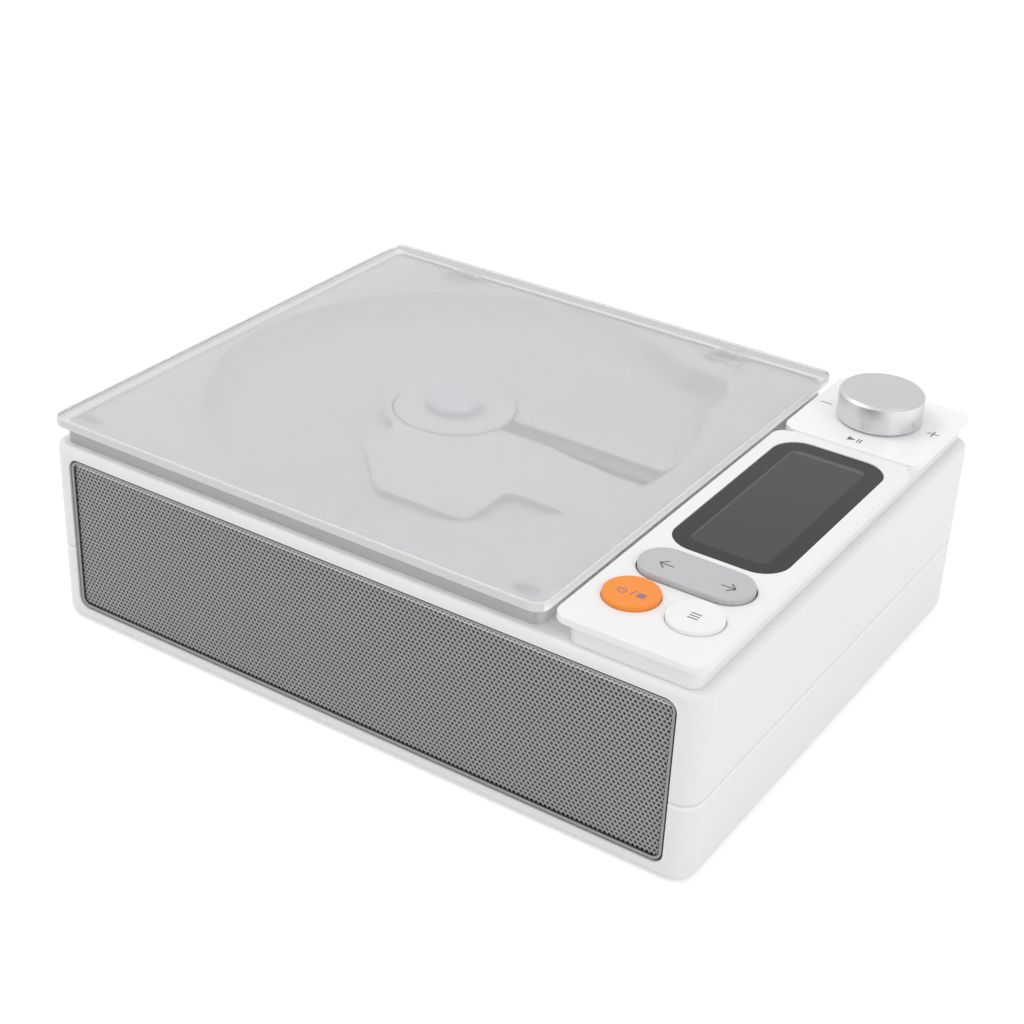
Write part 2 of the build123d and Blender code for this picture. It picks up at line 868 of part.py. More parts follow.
def panel_base():
    body = block(base_left, base_right, base_front, base_back, rim_z, base_top_z, base_corner)
    body = chamfer(bottom_edges(body), seam_chamfer)
    body -= block(base_left + base_wall, base_right - base_wall, base_front + base_wall,
                  base_back - base_wall, rim_z, base_under_z, base_corner - base_wall)
    body += block(base_left, base_right, front_plate_back + running_gap, rear_plate_front - running_gap,
                  base_top_z, plate_top_z - plate_rib_drop)
    for x, y in panel_screw_places():
        body += rod(x, y, rim_z, base_under_z, deck_boss)
        body -= rod(x, y, rim_z, base_under_z - running_gap, m2_radius + thread_gap)
    for x, y in standoff_places():
        body += rod(x, y, board_top_z, base_under_z, standoff_radius)
        body -= rod(x, y, board_top_z, base_under_z - running_gap, m2_radius + thread_gap)
    for side in (-1, 1):
        y = sorted((rocker_y + side * rocker_ear, rocker_y + side * (rocker_ear + ear_thick)))
        body += block(panel_x - rocker_boss, panel_x + rocker_boss, *y,
                      rocker_axis_z - rocker_pin_radius - rest_gap * 2, base_under_z)
    body -= rod_y(panel_x, rocker_y - 2 * rocker_ear, rocker_y + 2 * rocker_ear, rocker_axis_z,
                  rocker_pin_radius + running_gap / 2)
    body -= screen_shape(-module_border + slide_gap, base_under_z, base_top_z)
    body -= rocker_neck(rocker_gap, base_under_z, base_top_z)
    for x in button_xs:
        body -= rod(x, button_y, base_under_z, base_top_z, button_neck + fit_gap)
    body -= rod(panel_x, knob_y, base_under_z, base_top_z, bush_radius + fit_gap)
    return body


def plate_block(y0, y1, back_corner):
    body = block(plate_left, plate_right, y0, y1, base_top_z, plate_top_z)
    uprights = body.edges().filter_by(Axis.Z).group_by(Axis.Y)
    body = fillet(uprights[0], plate_corner)
    uprights = body.edges().filter_by(Axis.Z).group_by(Axis.Y)
    body = fillet(uprights[-1], back_corner)
    return fillet(top_edges(body), plate_round)


def front_plate():
    body = plate_block(plate_front, front_plate_back, plate_corner)
    body -= screen_shape(fit_gap, base_top_z, plate_top_z)
    body -= rocker_cap(rocker_gap, base_top_z, plate_top_z)
    for x in button_xs:
        body -= rod(x, button_y, base_top_z, plate_top_z, button_radius + fit_gap)
    return body


def rear_plate():
    body = plate_block(rear_plate_front, plate_back, plate_back_corner)
    return body - rod(panel_x, knob_y, base_top_z, plate_top_z, bush_radius + fit_gap)


def screen_lens():
    return screen_shape(0, base_top_z, base_top_z + lens_thick)


def display_module():
    half = screen_width / 2 - module_border
    return block(panel_x - half, panel_x + half, screen_y0 + module_border, screen_y1 - module_border,
                 base_top_z - module_thick, base_top_z, screen_corner - module_border)


def button(x):
    under = base_top_z + press_travel + running_gap
    flange_z = base_under_z - button_flange_thick
    body = rod(x, button_y, under, plate_top_z + button_rise, button_radius)
    body = fillet(top_edges(body), button_edge)
    body += rod(x, button_y, flange_z, under, button_neck)
    body += rod(x, button_y, flange_z, base_under_z, button_flange)
    return body + rod(x, button_y, stem_z, flange_z, button_stem)


def track_rocker():
    under = base_top_z + rocker_lift
    half = rocker_neck_width / 2
    body = rocker_cap(0, under, plate_top_z + rocker_rise)
    body = fillet(top_edges(body), rocker_edge)
    body += rocker_neck(0, stem_z, under)
    body += block(panel_x - rocker_boss, panel_x + rocker_boss, rocker_y - half, rocker_y + half,
                  stem_z - rocker_boss_height, stem_z)
    return body - rod_y(panel_x, rocker_y - half, rocker_y + half, rocker_axis_z,
                        rocker_pin_radius + running_gap)


def rocker_pin():
    reach = rocker_ear + ear_thick
    return rod_y(panel_x, rocker_y - reach, rocker_y + reach, rocker_axis_z, rocker_pin_radius)


def volume_knob():
    top = knob_z + knob_height
    body = rod(panel_x, knob_y, knob_z + knob_base_step, top, knob_radius)
    body = chamfer(top_edges(body), knob_edge)
    body += rod(panel_x, knob_y, knob_z, knob_z + knob_base_step, knob_radius - knob_base_step)
    under = top - knob_crown
    body -= (rod(panel_x, knob_y, knob_z, under, knob_radius - knob_wall)
             - rod(panel_x, knob_y, knob_z, under, shaft_radius + knob_wall))
    return body - rod(panel_x, knob_y, knob_z, under, shaft_radius + running_gap)


def encoder_body():
    half = encoder_size / 2
    body = block(panel_x - half, panel_x + half, knob_y - half, knob_y + half, board_top_z,
                 base_under_z - fit_gap)
    body += rod(panel_x, knob_y, base_under_z - fit_gap, plate_top_z, bush_radius)
    body -= rod(panel_x, knob_y, shaft_z - press_travel - running_gap, knob_z, shaft_radius + running_gap)
    return body - rod(panel_x, knob_y, board_top_z, shaft_z, plunger_radius + running_gap)


def encoder_plunger():
    return rod(panel_x, knob_y, plunger_z, shaft_z, plunger_radius)


def encoder_shaft():
    return rod(panel_x, knob_y, shaft_z, shaft_top_z, shaft_radius)


def switch_places():
    rocker_switches = [(panel_x + side * rocker_switch_side, rocker_y) for side in (-1, 1)]
    return [(x, button_y) for x in button_xs] + rocker_switches


def tact_switch(x, y):
    half = switch_size / 2
    body = block(x - half, x + half, y - half, y + half, board_top_z, board_top_z + switch_height)
    return body + rod(x, y, board_top_z + switch_height, switch_z, switch_cap_radius)


def control_board():
    shelf = panel_shelf + board_side_gap
    end = panel_end_shelf + board_side_gap
    body = block(base_left + shelf, base_right - shelf, base_front + end, base_back - end,
                 board_top_z - board_thick, board_top_z, base_corner)
    for x, y in standoff_places():
        body -= rod(x, y, board_top_z - board_thick, board_top_z, m2_radius + fit_gap)
    return body


def panel_screws():
    return [screw(x, y, ceiling_z, base_under_z - screw_tip_gap, m2_radius, m2_head, m2_head_height)
            for x, y in panel_screw_places()]


def board_screws():
    panel = [screw(x, y, board_top_z - board_thick, base_under_z - screw_tip_gap, m2_radius, m2_head,
                   m2_head_height) for x, y in standoff_places()]
    main = [screw(x, y, board_face_z, floor_z + fit_gap, m2_radius, m2_head, m2_head_height)
            for x, y in main_holes()]
    return panel + main


# Disc mechanism
def rod_rows():
    return [(hub_y - rod_side, rod_radius), (hub_y + rod_side, rod_radius), (lead_y, lead_radius)]


def mechanism_chassis():
    x1 = lug_right + lug_thick
    body = block(hub_x - chassis_left, x1, hub_y - chassis_half, hub_y + chassis_half,
                 chassis_under_z, chassis_z, chassis_corner)
    for y in (hub_y - rod_side, hub_y + rod_side, lead_y):
        for x in (lug_left, lug_right):
            body += block(x, x + lug_thick, y - lug_half, y + lug_half, rod_z - lug_half, chassis_under_z)
    for y, radius in rod_rows():
        body -= rod_x(lug_left, x1, y, rod_z, radius + running_gap)
    body -= block(lug_left + lug_thick, lug_right, hub_y - chassis_window, hub_y + chassis_window,
                  chassis_under_z, chassis_z)
    body -= rod(hub_x, hub_y, chassis_under_z, chassis_z, platter_boss - motor_shaft)
    for x, y in damper_places():
        body -= rod(x, y, chassis_under_z, chassis_z, damper_core + running_gap)
    return body


def rubber_damper(x, y):
    body = rod(x, y, chassis_under_z - damper_flange, chassis_z + damper_flange, damper_core)
    body += rod(x, y, chassis_z, chassis_z + damper_flange, damper_radius)
    body += rod(x, y, chassis_under_z - damper_flange, chassis_under_z, damper_radius)
    return body - rod(x, y, chassis_under_z - damper_flange, chassis_z + damper_flange, m2_radius + fit_gap)


def damper_screws():
    head_z = chassis_under_z - damper_flange
    return [screw(x, y, head_z, well_z - well_floor, m2_radius, m2_head, m2_head_height)
            for x, y in damper_places()]


def spindle_motor():
    body = rod(hub_x, hub_y, chassis_under_z - motor_height, chassis_under_z, motor_radius)
    body = fillet(bottom_edges(body), motor_shaft)
    bore_z = chassis_under_z - motor_height / 2
    return body - rod(hub_x, hub_y, bore_z, chassis_under_z, motor_shaft + running_gap)


def turntable():
    boss_z = chassis_z + rest_gap
    body = rod(hub_x, hub_y, platter_z - platter_thick, platter_z, platter_radius)
    body = chamfer(top_edges(body), platter_thick / 5)
    body += rod(hub_x, hub_y, boss_z, platter_z - platter_thick, platter_boss)
    body += rod(hub_x, hub_y, chassis_under_z - motor_height / 2, boss_z, motor_shaft)
    return body


def ball_places():
    return [(hub_x + ball_ring * cos(radians(360 / ball_count * k)),
             hub_y + ball_ring * sin(radians(360 / ball_count * k))) for k in range(ball_count)]


def clamp_hub():
    body = rod(hub_x, hub_y, platter_z, platter_z + hub_height, hub_radius)
    body = chamfer(top_edges(body), hub_height - hub_seat, hub_cone)
    for x, y in ball_places():
        body -= Pos(x, y, platter_z + hub_height - ball_sink) * Sphere(ball_radius + running_gap)
    return body


def clamp_balls():
    return [Pos(x, y, platter_z + hub_height - ball_sink) * Sphere(ball_radius) for x, y in ball_places()]


def laser_sled():
    half = sled_length / 2
    body = block(sled_x - half, sled_x + half, lead_y - screw_lap, hub_y + rod_side + screw_lap,
                 sled_under_z, sled_top_z)
    body += block(sled_x - turret_length / 2, sled_x + turret_length / 2, hub_y - turret_width / 2,
                  hub_y + turret_width / 2, sled_top_z, lens_z)
    for y, radius in rod_rows():
        body -= rod_x(sled_x - half, sled_x + half, y, rod_z, radius + running_gap)
    return body


def laser_lens():
    body = rod(sled_x, hub_y, lens_z, lens_z + lens_rise, lens_radius)
    return fillet(top_edges(body), lens_rise * 0.8)


def guide_rods():
    return [rod_x(lug_left, lug_right + lug_thick, hub_y + side * rod_side, rod_z, rod_radius)
            for side in (-1, 1)]


def lead_screw():
    return rod_x(lug_left, lug_right + lug_thick + sled_motor_length / 3, lead_y, rod_z, lead_radius)


def sled_motor():
    x0 = lug_right + lug_thick
    body = rod_x(x0, x0 + sled_motor_length, lead_y, rod_z, sled_motor_radius)
    return body - rod_x(x0, x0 + sled_motor_length / 2, lead_y, rod_z, lead_radius + running_gap)


# Boards, battery and sockets
def main_board():
    half = main_board_width / 2
    y0 = main_board_y - main_board_depth / 2
    body = block(-half, half, y0, y0 + main_board_depth, board_z, board_face_z)
    for x, size in zip(chip_xs, chip_sizes):
        body += block(x - size / 2, x + size / 2, main_board_y - size / 2, main_board_y + size / 2,
                      board_face_z, board_face_z + chip_height)
    for x, y in main_holes():
        body -= rod(x, y, board_z, board_face_z, m2_radius + fit_gap)
    return body


def battery_pack():
    body = block(-battery_width / 2, battery_width / 2, battery_front, battery_front + battery_depth,
                 floor_z, floor_z + battery_height, battery_corner)
    return fillet(top_edges(body), battery_corner / 2)


def usb_shape(inset, y0, y1):
    half = usb_width / 2 - inset
    tall = usb_height / 2 - inset
    return front_block(usb_x - half, usb_x + half, port_z - tall, port_z + tall, y0, y1, tall - running_gap)


def usb_socket():
    mouth = back - usb_recess
    end = mouth - usb_depth + 2 * usb_wall
    body = usb_shape(0, mouth - usb_depth, mouth) - usb_shape(usb_wall, end, mouth)
    tongue = front_block(usb_x - usb_width / 4, usb_x + usb_width / 4, port_z - usb_wall,
                         port_z + usb_wall, end, mouth - 2 * usb_wall)
    return body + tongue


def audio_jack():
    mouth = back - usb_recess
    body = block(jack_x - jack_body / 2, jack_x + jack_body / 2, mouth - jack_depth, inner_back - jack_ring,
                 board_face_z, jack_z + jack_radius)
    body += rod_y(jack_x, inner_back - jack_ring, mouth, jack_z, jack_radius)
    return body - rod_y(jack_x, mouth - jack_depth + jack_ring, mouth, jack_z, jack_bore)


save("lower_shell", lower_shell())
save("upper_shell", upper_shell())
save("rubber_feet", *rubber_feet())
save("case_screws", *case_screws())
save("grille_frame", grille_frame())
save("speaker_grille", behind_frame(front + sheet_recess, front + sheet_recess + sheet_thick))
save("acoustic_cloth", behind_frame(inner_front - cloth_thick, inner_front))
save("speaker_baffle", speaker_baffle())
for side, x in zip(("left", "right"), speaker_xs):
    save(f"{side}_speaker_basket", speaker_basket(x))
    save(f"{side}_speaker_surround", speaker_surround(x))
    save(f"{side}_speaker_cone", speaker_cone(x))
    save(f"{side}_speaker_magnet", speaker_magnet(x))
save("speaker_screws", *speaker_screws())
save("disc_deck", disc_deck())
save("mechanism_cover", mechanism_cover())
save("deck_screws", *deck_screws())
save("lid", lid())
save("lid_bumpers", *lid_bumpers())
save("hinge_leaves", *[hinge_leaf(x) for x in hinge_xs])
save("hinge_brackets", *[hinge_bracket(x) for x in hinge_xs])
save("hinge_pins", *hinge_pins())
save("hinge_leaf_screws", *leaf_screws())
save("hinge_bracket_screws", *bracket_screws())
save("panel_base", panel_base())
save("front_plate", front_plate())
save("rear_plate", rear_plate())
save("screen_lens", screen_lens())
save("display_module", display_module())
save("power_button", button(button_xs[0]))
save("mode_button", button(button_xs[1]))
save("track_rocker", track_rocker())
save("rocker_pin", rocker_pin())
save("volume_knob", volume_knob())
save("encoder_body", encoder_body())
save("encoder_plunger", encoder_plunger())
save("encoder_shaft", encoder_shaft())
save("tact_switches", *[tact_switch(x, y) for x, y in switch_places()])
save("control_board", control_board())
save("panel_screws", *panel_screws())
save("board_screws", *board_screws())
save("mechanism_chassis", mechanism_chassis())
save("rubber_dampers", *[rubber_damper(x, y) for x, y in damper_places()])
save("damper_screws", *damper_screws())
save("spindle_motor", spindle_motor())
save("turntable", turntable())
save("clamp_hub", clamp_hub())
save("clamp_balls", *clamp_balls())
save("laser_sled", laser_sled())
save("laser_lens", laser_lens())
save("guide_rods", *guide_rods())
save("lead_screw", lead_screw())
save("sled_motor", sled_motor())
save("main_board", main_board())
save("battery_pack", battery_pack())
save("usb_socket", usb_socket())
save("audio_jack", audio_jack())
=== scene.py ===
from math import atan2, cos, pi, radians, sin, sqrt

import bmesh
import bpy
from mathutils import Matrix, Vector


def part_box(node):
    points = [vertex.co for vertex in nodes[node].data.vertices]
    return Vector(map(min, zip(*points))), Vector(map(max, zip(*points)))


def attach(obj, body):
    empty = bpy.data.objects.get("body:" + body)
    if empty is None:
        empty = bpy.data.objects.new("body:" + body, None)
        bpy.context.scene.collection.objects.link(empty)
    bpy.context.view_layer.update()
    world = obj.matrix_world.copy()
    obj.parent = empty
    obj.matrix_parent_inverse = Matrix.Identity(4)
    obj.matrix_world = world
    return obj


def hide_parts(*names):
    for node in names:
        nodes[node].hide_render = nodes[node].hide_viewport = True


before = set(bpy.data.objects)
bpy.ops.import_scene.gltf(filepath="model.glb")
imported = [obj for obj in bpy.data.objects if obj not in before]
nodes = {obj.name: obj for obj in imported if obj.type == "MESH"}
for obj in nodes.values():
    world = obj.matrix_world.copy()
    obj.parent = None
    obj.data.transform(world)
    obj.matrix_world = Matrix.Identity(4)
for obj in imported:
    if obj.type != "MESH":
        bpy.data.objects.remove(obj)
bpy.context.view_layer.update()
print("frame loaded:", len(nodes), "nodes")
mm = 0.001
tiny = 0.01 * mm


# camera, floor and light

view = {
    "place": (0.21977, -0.35211, 0.26693),
    "turn": (60.036, -2.323, 33.507),
    "lens": 67.425,
    "sensor": 36.0,
}
studio = {
    "skyLevel": 0.84,
    "glossyLevel": 0.86,
    "whiteLevel": 1.0,
    "keyWatts": 2.6,
    "keyPlace": (-0.6, -0.22, 1.1),
    "keySize": 0.5,
    "fillWatts": 1.3,
    "fillPlace": (0.9, -0.32, 0.55),
    "fillSize": 0.35,
    "floorSize": 6.0,
    "floorColor": 0.82,
    "floorRoughness": 0.9,
    "floorLift": 0.4,
}


def linkNodes(tree, source, socket, target, name):
    tree.links.new(source.outputs[socket], target.inputs[name])


def feed(tree, value, socket):
    # value is the output of another node, or a plain value
    if isinstance(value, bpy.types.NodeSocket):
        tree.links.new(value, socket)
    else:
        socket.default_value = value


def mathNode(tree, operation, *values):
    node = tree.nodes.new("ShaderNodeMath")
    node.operation = operation
    for slot, value in enumerate(values):
        feed(tree, value, node.inputs[slot])
    return node.outputs[0]


def newMaterial(name):
    material = bpy.data.materials.new(name)
    material.use_nodes = True
    tree = material.node_tree
    return material, tree, tree.nodes["Principled BSDF"]


def whiteForViewers(tree, glossy=1.0):
    # 1 for camera and transmission rays, glossy for glossy rays, 0 for the light on the object
    path = tree.nodes.new("ShaderNodeLightPath")
    clear = mathNode(tree, "MAXIMUM", path.outputs["Is Camera Ray"], path.outputs["Is Transmission Ray"])
    shiny = mathNode(tree, "MULTIPLY", path.outputs["Is Glossy Ray"], glossy)
    return mathNode(tree, "MAXIMUM", clear, shiny)


def makeCamera():
    data = bpy.data.cameras.new("camera")
    data.lens = view["lens"]
    data.sensor_width = view["sensor"]
    data.clip_start = 0.01
    camera = bpy.data.objects.new("camera", data)
    camera.location = view["place"]
    camera.rotation_euler = [radians(angle) for angle in view["turn"]]
    bpy.context.scene.collection.objects.link(camera)
    bpy.context.scene.camera = camera


def makeSky():
    world = bpy.data.worlds.new("studio")
    bpy.context.scene.world = world
    world.use_nodes = True
    tree = world.node_tree
    background = tree.nodes["Background"]
    background.inputs["Color"].default_value = (1, 1, 1, 1)
    level = tree.nodes.new("ShaderNodeMapRange")
    level.inputs["To Min"].default_value = studio["skyLevel"]
    level.inputs["To Max"].default_value = studio["whiteLevel"]
    glossy = (studio["glossyLevel"] - studio["skyLevel"]) / (studio["whiteLevel"] - studio["skyLevel"])
    tree.links.new(whiteForViewers(tree, glossy), level.inputs["Value"])
    linkNodes(tree, level, "Result", background, "Strength")


def makeLamp(name, place, size, watts):
    data = bpy.data.lights.new(name, "AREA")
    data.shape = "DISK"
    data.size = size
    data.energy = watts
    lamp = bpy.data.objects.new(name, data)
    lamp.location = place
    lamp.rotation_euler = (-Vector(place)).to_track_quat("-Z", "Y").to_euler()
    bpy.context.scene.collection.objects.link(lamp)


def makeFloor():
    bm = bmesh.new()
    bmesh.ops.create_grid(bm, x_segments=1, y_segments=1, size=studio["floorSize"] / 2)
    floor = addPiece("floor", bm)
    material, tree, shader = newMaterial("paleFloor")
    tone = studio["floorColor"]
    shader.inputs["Base Color"].default_value = (tone, tone, tone, 1)
    shader.inputs["Roughness"].default_value = studio["floorRoughness"]
    shader.inputs["Specular IOR Level"].default_value = 0.0
    shader.inputs["Emission Color"].default_value = (1, 1, 1, 1)
    lift = mathNode(tree, "MULTIPLY", whiteForViewers(tree), studio["floorLift"])
    tree.links.new(lift, shader.inputs["Emission Strength"])
    floor.data.materials.append(material)


def addPiece(name, bm):
    mesh = bpy.data.meshes.new(name)
    bm.to_mesh(mesh)
    bm.free()
    piece = bpy.data.objects.new(name, mesh)
    bpy.context.scene.collection.objects.link(piece)
    return piece


makeCamera()
makeSky()
makeLamp("key", studio["keyPlace"], studio["keySize"], studio["keyWatts"])
makeLamp("fill", studio["fillPlace"], studio["fillSize"], studio["fillWatts"])
makeFloor()
bpy.context.scene.view_settings.view_transform = "Standard"
print("camera, light and floor ready")


# shared surface effects, as node groups

def newGroup(name, inputs, outputs):
    tree = bpy.data.node_groups.new(name, "ShaderNodeTree")
    for label, kind, value in inputs:
        socket = tree.interface.new_socket(label, in_out="INPUT", socket_type=kind)
        socket.default_value = value
    for label, kind in outputs:
        tree.interface.new_socket(label, in_out="OUTPUT", socket_type=kind)
    start = tree.nodes.new("NodeGroupInput")
    end = tree.nodes.new("NodeGroupOutput")
    return tree, start, end


def axesOf(tree, vector=None):
    # the three parts of a vector, or of the object's own coordinates
    parts = tree.nodes.new("ShaderNodeSeparateXYZ")
    feed(tree, vector or tree.nodes.new("ShaderNodeTexCoord").outputs["Object"], parts.inputs["Vector"])
    return parts.outputs


def noiseNode(tree, vector, scale, detail=2.0):
    node = tree.nodes.new("ShaderNodeTexNoise")
    node.inputs["Detail"].default_value = detail
    feed(tree, scale, node.inputs["Scale"])
    feed(tree, vector, node.inputs["Vector"])
    return node.outputs["Fac"]


floatKind = "NodeSocketFloat"
surface = {
    "skinDepth": 0.2 * mm,
    "turnedDepth": 0.1 * mm,
    "patchFineness": 3.0,
    "grainDetail": 3.0,
    "ringDetail": 4.0,
}


def makeSkinGroup():
    # moulded or painted skin: a slow change of tone, a fine grain and patches of gloss
    tree, start, end = newGroup(
        "skin",
        [("Color", "NodeSocketColor", (0.8, 0.8, 0.8, 1)), ("Tone", floatKind, 0.02),
         ("Tone Scale", floatKind, 30.0), ("Grain Scale", floatKind, 1800.0),
         ("Roughness", floatKind, 0.4), ("Gloss Swing", floatKind, 0.06)],
        [("Color", "NodeSocketColor"), ("Roughness", floatKind), ("Height", floatKind)])
    place = tree.nodes.new("ShaderNodeTexCoord").outputs["Object"]
    slow = noiseNode(tree, place, start.outputs["Tone Scale"])
    swing = mathNode(tree, "SUBTRACT", slow, 0.5)
    factor = mathNode(tree, "MULTIPLY_ADD", swing, start.outputs["Tone"], 1.0)
    tint = tree.nodes.new("ShaderNodeVectorMath")
    tint.operation = "SCALE"
    tree.links.new(start.outputs["Color"], tint.inputs[0])
    tree.links.new(factor, tint.inputs["Scale"])
    tree.links.new(tint.outputs["Vector"], end.inputs["Color"])
    finer = mathNode(tree, "MULTIPLY", start.outputs["Tone Scale"], surface["patchFineness"])
    patches = noiseNode(tree, place, finer)
    glossSwing = mathNode(tree, "SUBTRACT", patches, 0.5)
    gloss = mathNode(
        tree, "MULTIPLY_ADD", glossSwing, start.outputs["Gloss Swing"], start.outputs["Roughness"])
    tree.links.new(gloss, end.inputs["Roughness"])
    grain = noiseNode(tree, place, start.outputs["Grain Scale"], surface["grainDetail"])
    tree.links.new(grain, end.inputs["Height"])
    return tree


def makeTurnedGroup():
    # marks of a lathe: rings about the Z axis of the vector, and lines around its side
    tree, start, end = newGroup(
        "turned",
        [("Vector", "NodeSocketVector", (0, 0, 0)), ("Fineness", floatKind, 6000.0)],
        [("Lines", floatKind)])
    x, y, z = axesOf(tree, start.outputs["Vector"])
    square = mathNode(tree, "MULTIPLY", x, x)
    radius = mathNode(tree, "SQRT", mathNode(tree, "MULTIPLY_ADD", y, y, square))
    ring = tree.nodes.new("ShaderNodeCombineXYZ")
    tree.links.new(radius, ring.inputs["X"])
    tree.links.new(z, ring.inputs["Y"])
    lines = noiseNode(tree, ring.outputs[0], start.outputs["Fineness"], surface["ringDetail"])
    tree.links.new(lines, end.inputs["Lines"])
    return tree


def makeWindowGroup():
    # a rounded rectangle about the vector's origin: its inside, and how far inside a point is
    tree, start, end = newGroup(
        "window",
        [("Vector", "NodeSocketVector", (0, 0, 0)), ("Half Width", floatKind, 0.01),
         ("Half Length", floatKind, 0.02), ("Corner", floatKind, 0.002), ("Soft", floatKind, 0.0002)],
        [("Inside", floatKind), ("Depth", floatKind)])
    x, y, _ = axesOf(tree, start.outputs["Vector"])
    lengths = []
    for axis, half in ((x, "Half Width"), (y, "Half Length")):
        away = mathNode(tree, "ABSOLUTE", axis)
        reach = mathNode(tree, "SUBTRACT", start.outputs[half], start.outputs["Corner"])
        lengths.append(mathNode(tree, "SUBTRACT", away, reach))
    outer = [mathNode(tree, "MAXIMUM", length, 0.0) for length in lengths]
    corner = mathNode(tree, "SQRT", mathNode(tree, "MULTIPLY_ADD", outer[0], outer[0],
                                             mathNode(tree, "MULTIPLY", outer[1], outer[1])))
    flat = mathNode(tree, "MINIMUM", mathNode(tree, "MAXIMUM", lengths[0], lengths[1]), 0.0)
    distance = mathNode(tree, "SUBTRACT", mathNode(tree, "ADD", corner, flat), start.outputs["Corner"])
    depth = mathNode(tree, "MULTIPLY", distance, -1.0)
    ramp = mathNode(tree, "DIVIDE", depth, start.outputs["Soft"])
    inside = tree.nodes.new("ShaderNodeClamp")
    tree.links.new(ramp, inside.inputs["Value"])
    tree.links.new(inside.outputs[0], end.inputs["Inside"])
    tree.links.new(depth, end.inputs["Depth"])
    return tree


skinGroup = makeSkinGroup()
turnedGroup = makeTurnedGroup()
windowGroup = makeWindowGroup()


def placeGroup(tree, group, values):
    node = tree.nodes.new("ShaderNodeGroup")
    node.node_tree = group
    for name, value in values.items():
        node.inputs[name].default_value = value
    return node


def centredPlace(tree, x, y):
    # object coordinates counted from an upright line through x, y
    place = tree.nodes.new("ShaderNodeTexCoord")
    mapping = tree.nodes.new("ShaderNodeMapping")
    mapping.inputs["Location"].default_value = (-x, -y, 0)
    linkNodes(tree, place, "Object", mapping, "Vector")
    return mapping.outputs["Vector"]


def mixColors(tree, factor, first, second):
    mix = tree.nodes.new("ShaderNodeMix")
    mix.data_type = "RGBA"
    for slot, value in ((0, factor), (6, first), (7, second)):
        feed(tree, value, mix.inputs[slot])
    return mix.outputs[2]


def paintOver(material, factor, color):
    # lays another colour over the base colour where factor is 1
    tree = material.node_tree
    base = tree.nodes["Principled BSDF"].inputs["Base Color"]
    tree.links.new(mixColors(tree, factor, base.links[0].from_socket, color), base)


def glowHere(material, factor, color):
    tree = material.node_tree
    shader = tree.nodes["Principled BSDF"]
    tree.links.new(mixColors(tree, factor, (0, 0, 0, 1), color), shader.inputs["Emission Color"])
    shader.inputs["Emission Strength"].default_value = 1.0


def rampNode(tree, value, start, end, low=0.0, high=1.0):
    # goes from low to high while value goes from start to end
    ramp = tree.nodes.new("ShaderNodeMapRange")
    for name, level in (("From Min", start), ("From Max", end), ("To Min", low), ("To Max", high)):
        ramp.inputs[name].default_value = level
    tree.links.new(value, ramp.inputs["Value"])
    return ramp.outputs["Result"]


def bumpNode(tree, height, strength, distance, shader):
    bump = tree.nodes.new("ShaderNodeBump")
    bump.inputs["Strength"].default_value = strength
    bump.inputs["Distance"].default_value = distance
    tree.links.new(height, bump.inputs["Height"])
    linkNodes(tree, bump, "Normal", shader, "Normal")


def skinMaterial(name, color, roughness, tone=0.02, toneScale=30.0, grain=0.02, grainScale=1800.0,
                 swing=0.05, **sockets):
    # a material of moulded or painted skin; the last values go on the shader's own sockets
    material, tree, shader = newMaterial(name)
    skin = placeGroup(tree, skinGroup, {
        "Color": color, "Tone": tone, "Tone Scale": toneScale, "Grain Scale": grainScale,
        "Roughness": roughness, "Gloss Swing": swing})
    linkNodes(tree, skin, "Color", shader, "Base Color")
    linkNodes(tree, skin, "Roughness", shader, "Roughness")
    bumpNode(tree, skin.outputs["Height"], grain, surface["skinDepth"], shader)
    for socket, value in sockets.items():
        shader.inputs[socketNames[socket]].default_value = value
    return material


socketNames = {
    "metallic": "Metallic", "ior": "IOR", "transmission": "Transmission Weight", "alpha": "Alpha",
}


def turnedMaterial(name, look, centre):
    # metal that was turned about an upright axis through centre
    material, tree, shader = newMaterial(name)
    group = placeGroup(tree, turnedGroup, {"Fineness": look["fineness"]})
    tree.links.new(centredPlace(tree, *centre), group.inputs["Vector"])
    lines = group.outputs["Lines"]
    tint = tree.nodes.new("ShaderNodeVectorMath")
    tint.operation = "SCALE"
    tint.inputs[0].default_value = look["color"][:3]
    tone = look["toneSwing"]
    tree.links.new(rampNode(tree, lines, 0, 1, 1 - tone, 1 + tone), tint.inputs["Scale"])
    linkNodes(tree, tint, "Vector", shader, "Base Color")
    swing = look["glossSwing"]
    gloss = rampNode(tree, lines, 0, 1, look["roughness"] - swing, look["roughness"] + swing)
    tree.links.new(gloss, shader.inputs["Roughness"])
    bumpNode(tree, lines, look["grain"], surface["turnedDepth"], shader)
    return material


def finish(material, *names):
    # gives the material to CAD nodes or to new pieces
    for name in names:
        owner = nodes[name] if isinstance(name, str) else name
        owner.data.materials.clear()
        owner.data.materials.append(material)


# white case and plates

caseLook = {
    "case": {"color": (0.84, 0.84, 0.85, 1), "roughness": 0.36, "tone": 0.015, "grain": 0.02,
             "grainScale": 2200.0},
    "plate": {"color": (0.88, 0.88, 0.885, 1), "roughness": 0.32, "tone": 0.01, "grain": 0.01},
    # the rear plate is painted lighter than the front plate: painted light
    "rear": {"color": (0.94, 0.94, 0.945, 1), "roughness": 0.32, "tone": 0.01, "grain": 0.01},
    "seamWidth": 0.8 * mm,
    # painted shadow and painted highlight at the seam
    "seamShadeAndHighlight": (
        {"above": 0.15 * mm, "color": (0.77, 0.77, 0.78, 1)},
        {"above": -0.7 * mm, "color": (0.91, 0.91, 0.915, 1)},
    ),
}


def paintSeamShadeAndHighlight(material, seam):
    # painted shadow of the gap over the seam between the two shells, and a painted highlight on the lower
    # shell's edge under it
    tree = material.node_tree
    half = caseLook["seamWidth"] / 2
    for line in caseLook["seamShadeAndHighlight"]:
        here = mathNode(tree, "COMPARE", axesOf(tree)["Z"], seam + line["above"], half)
        paintOver(material, here, line["color"])


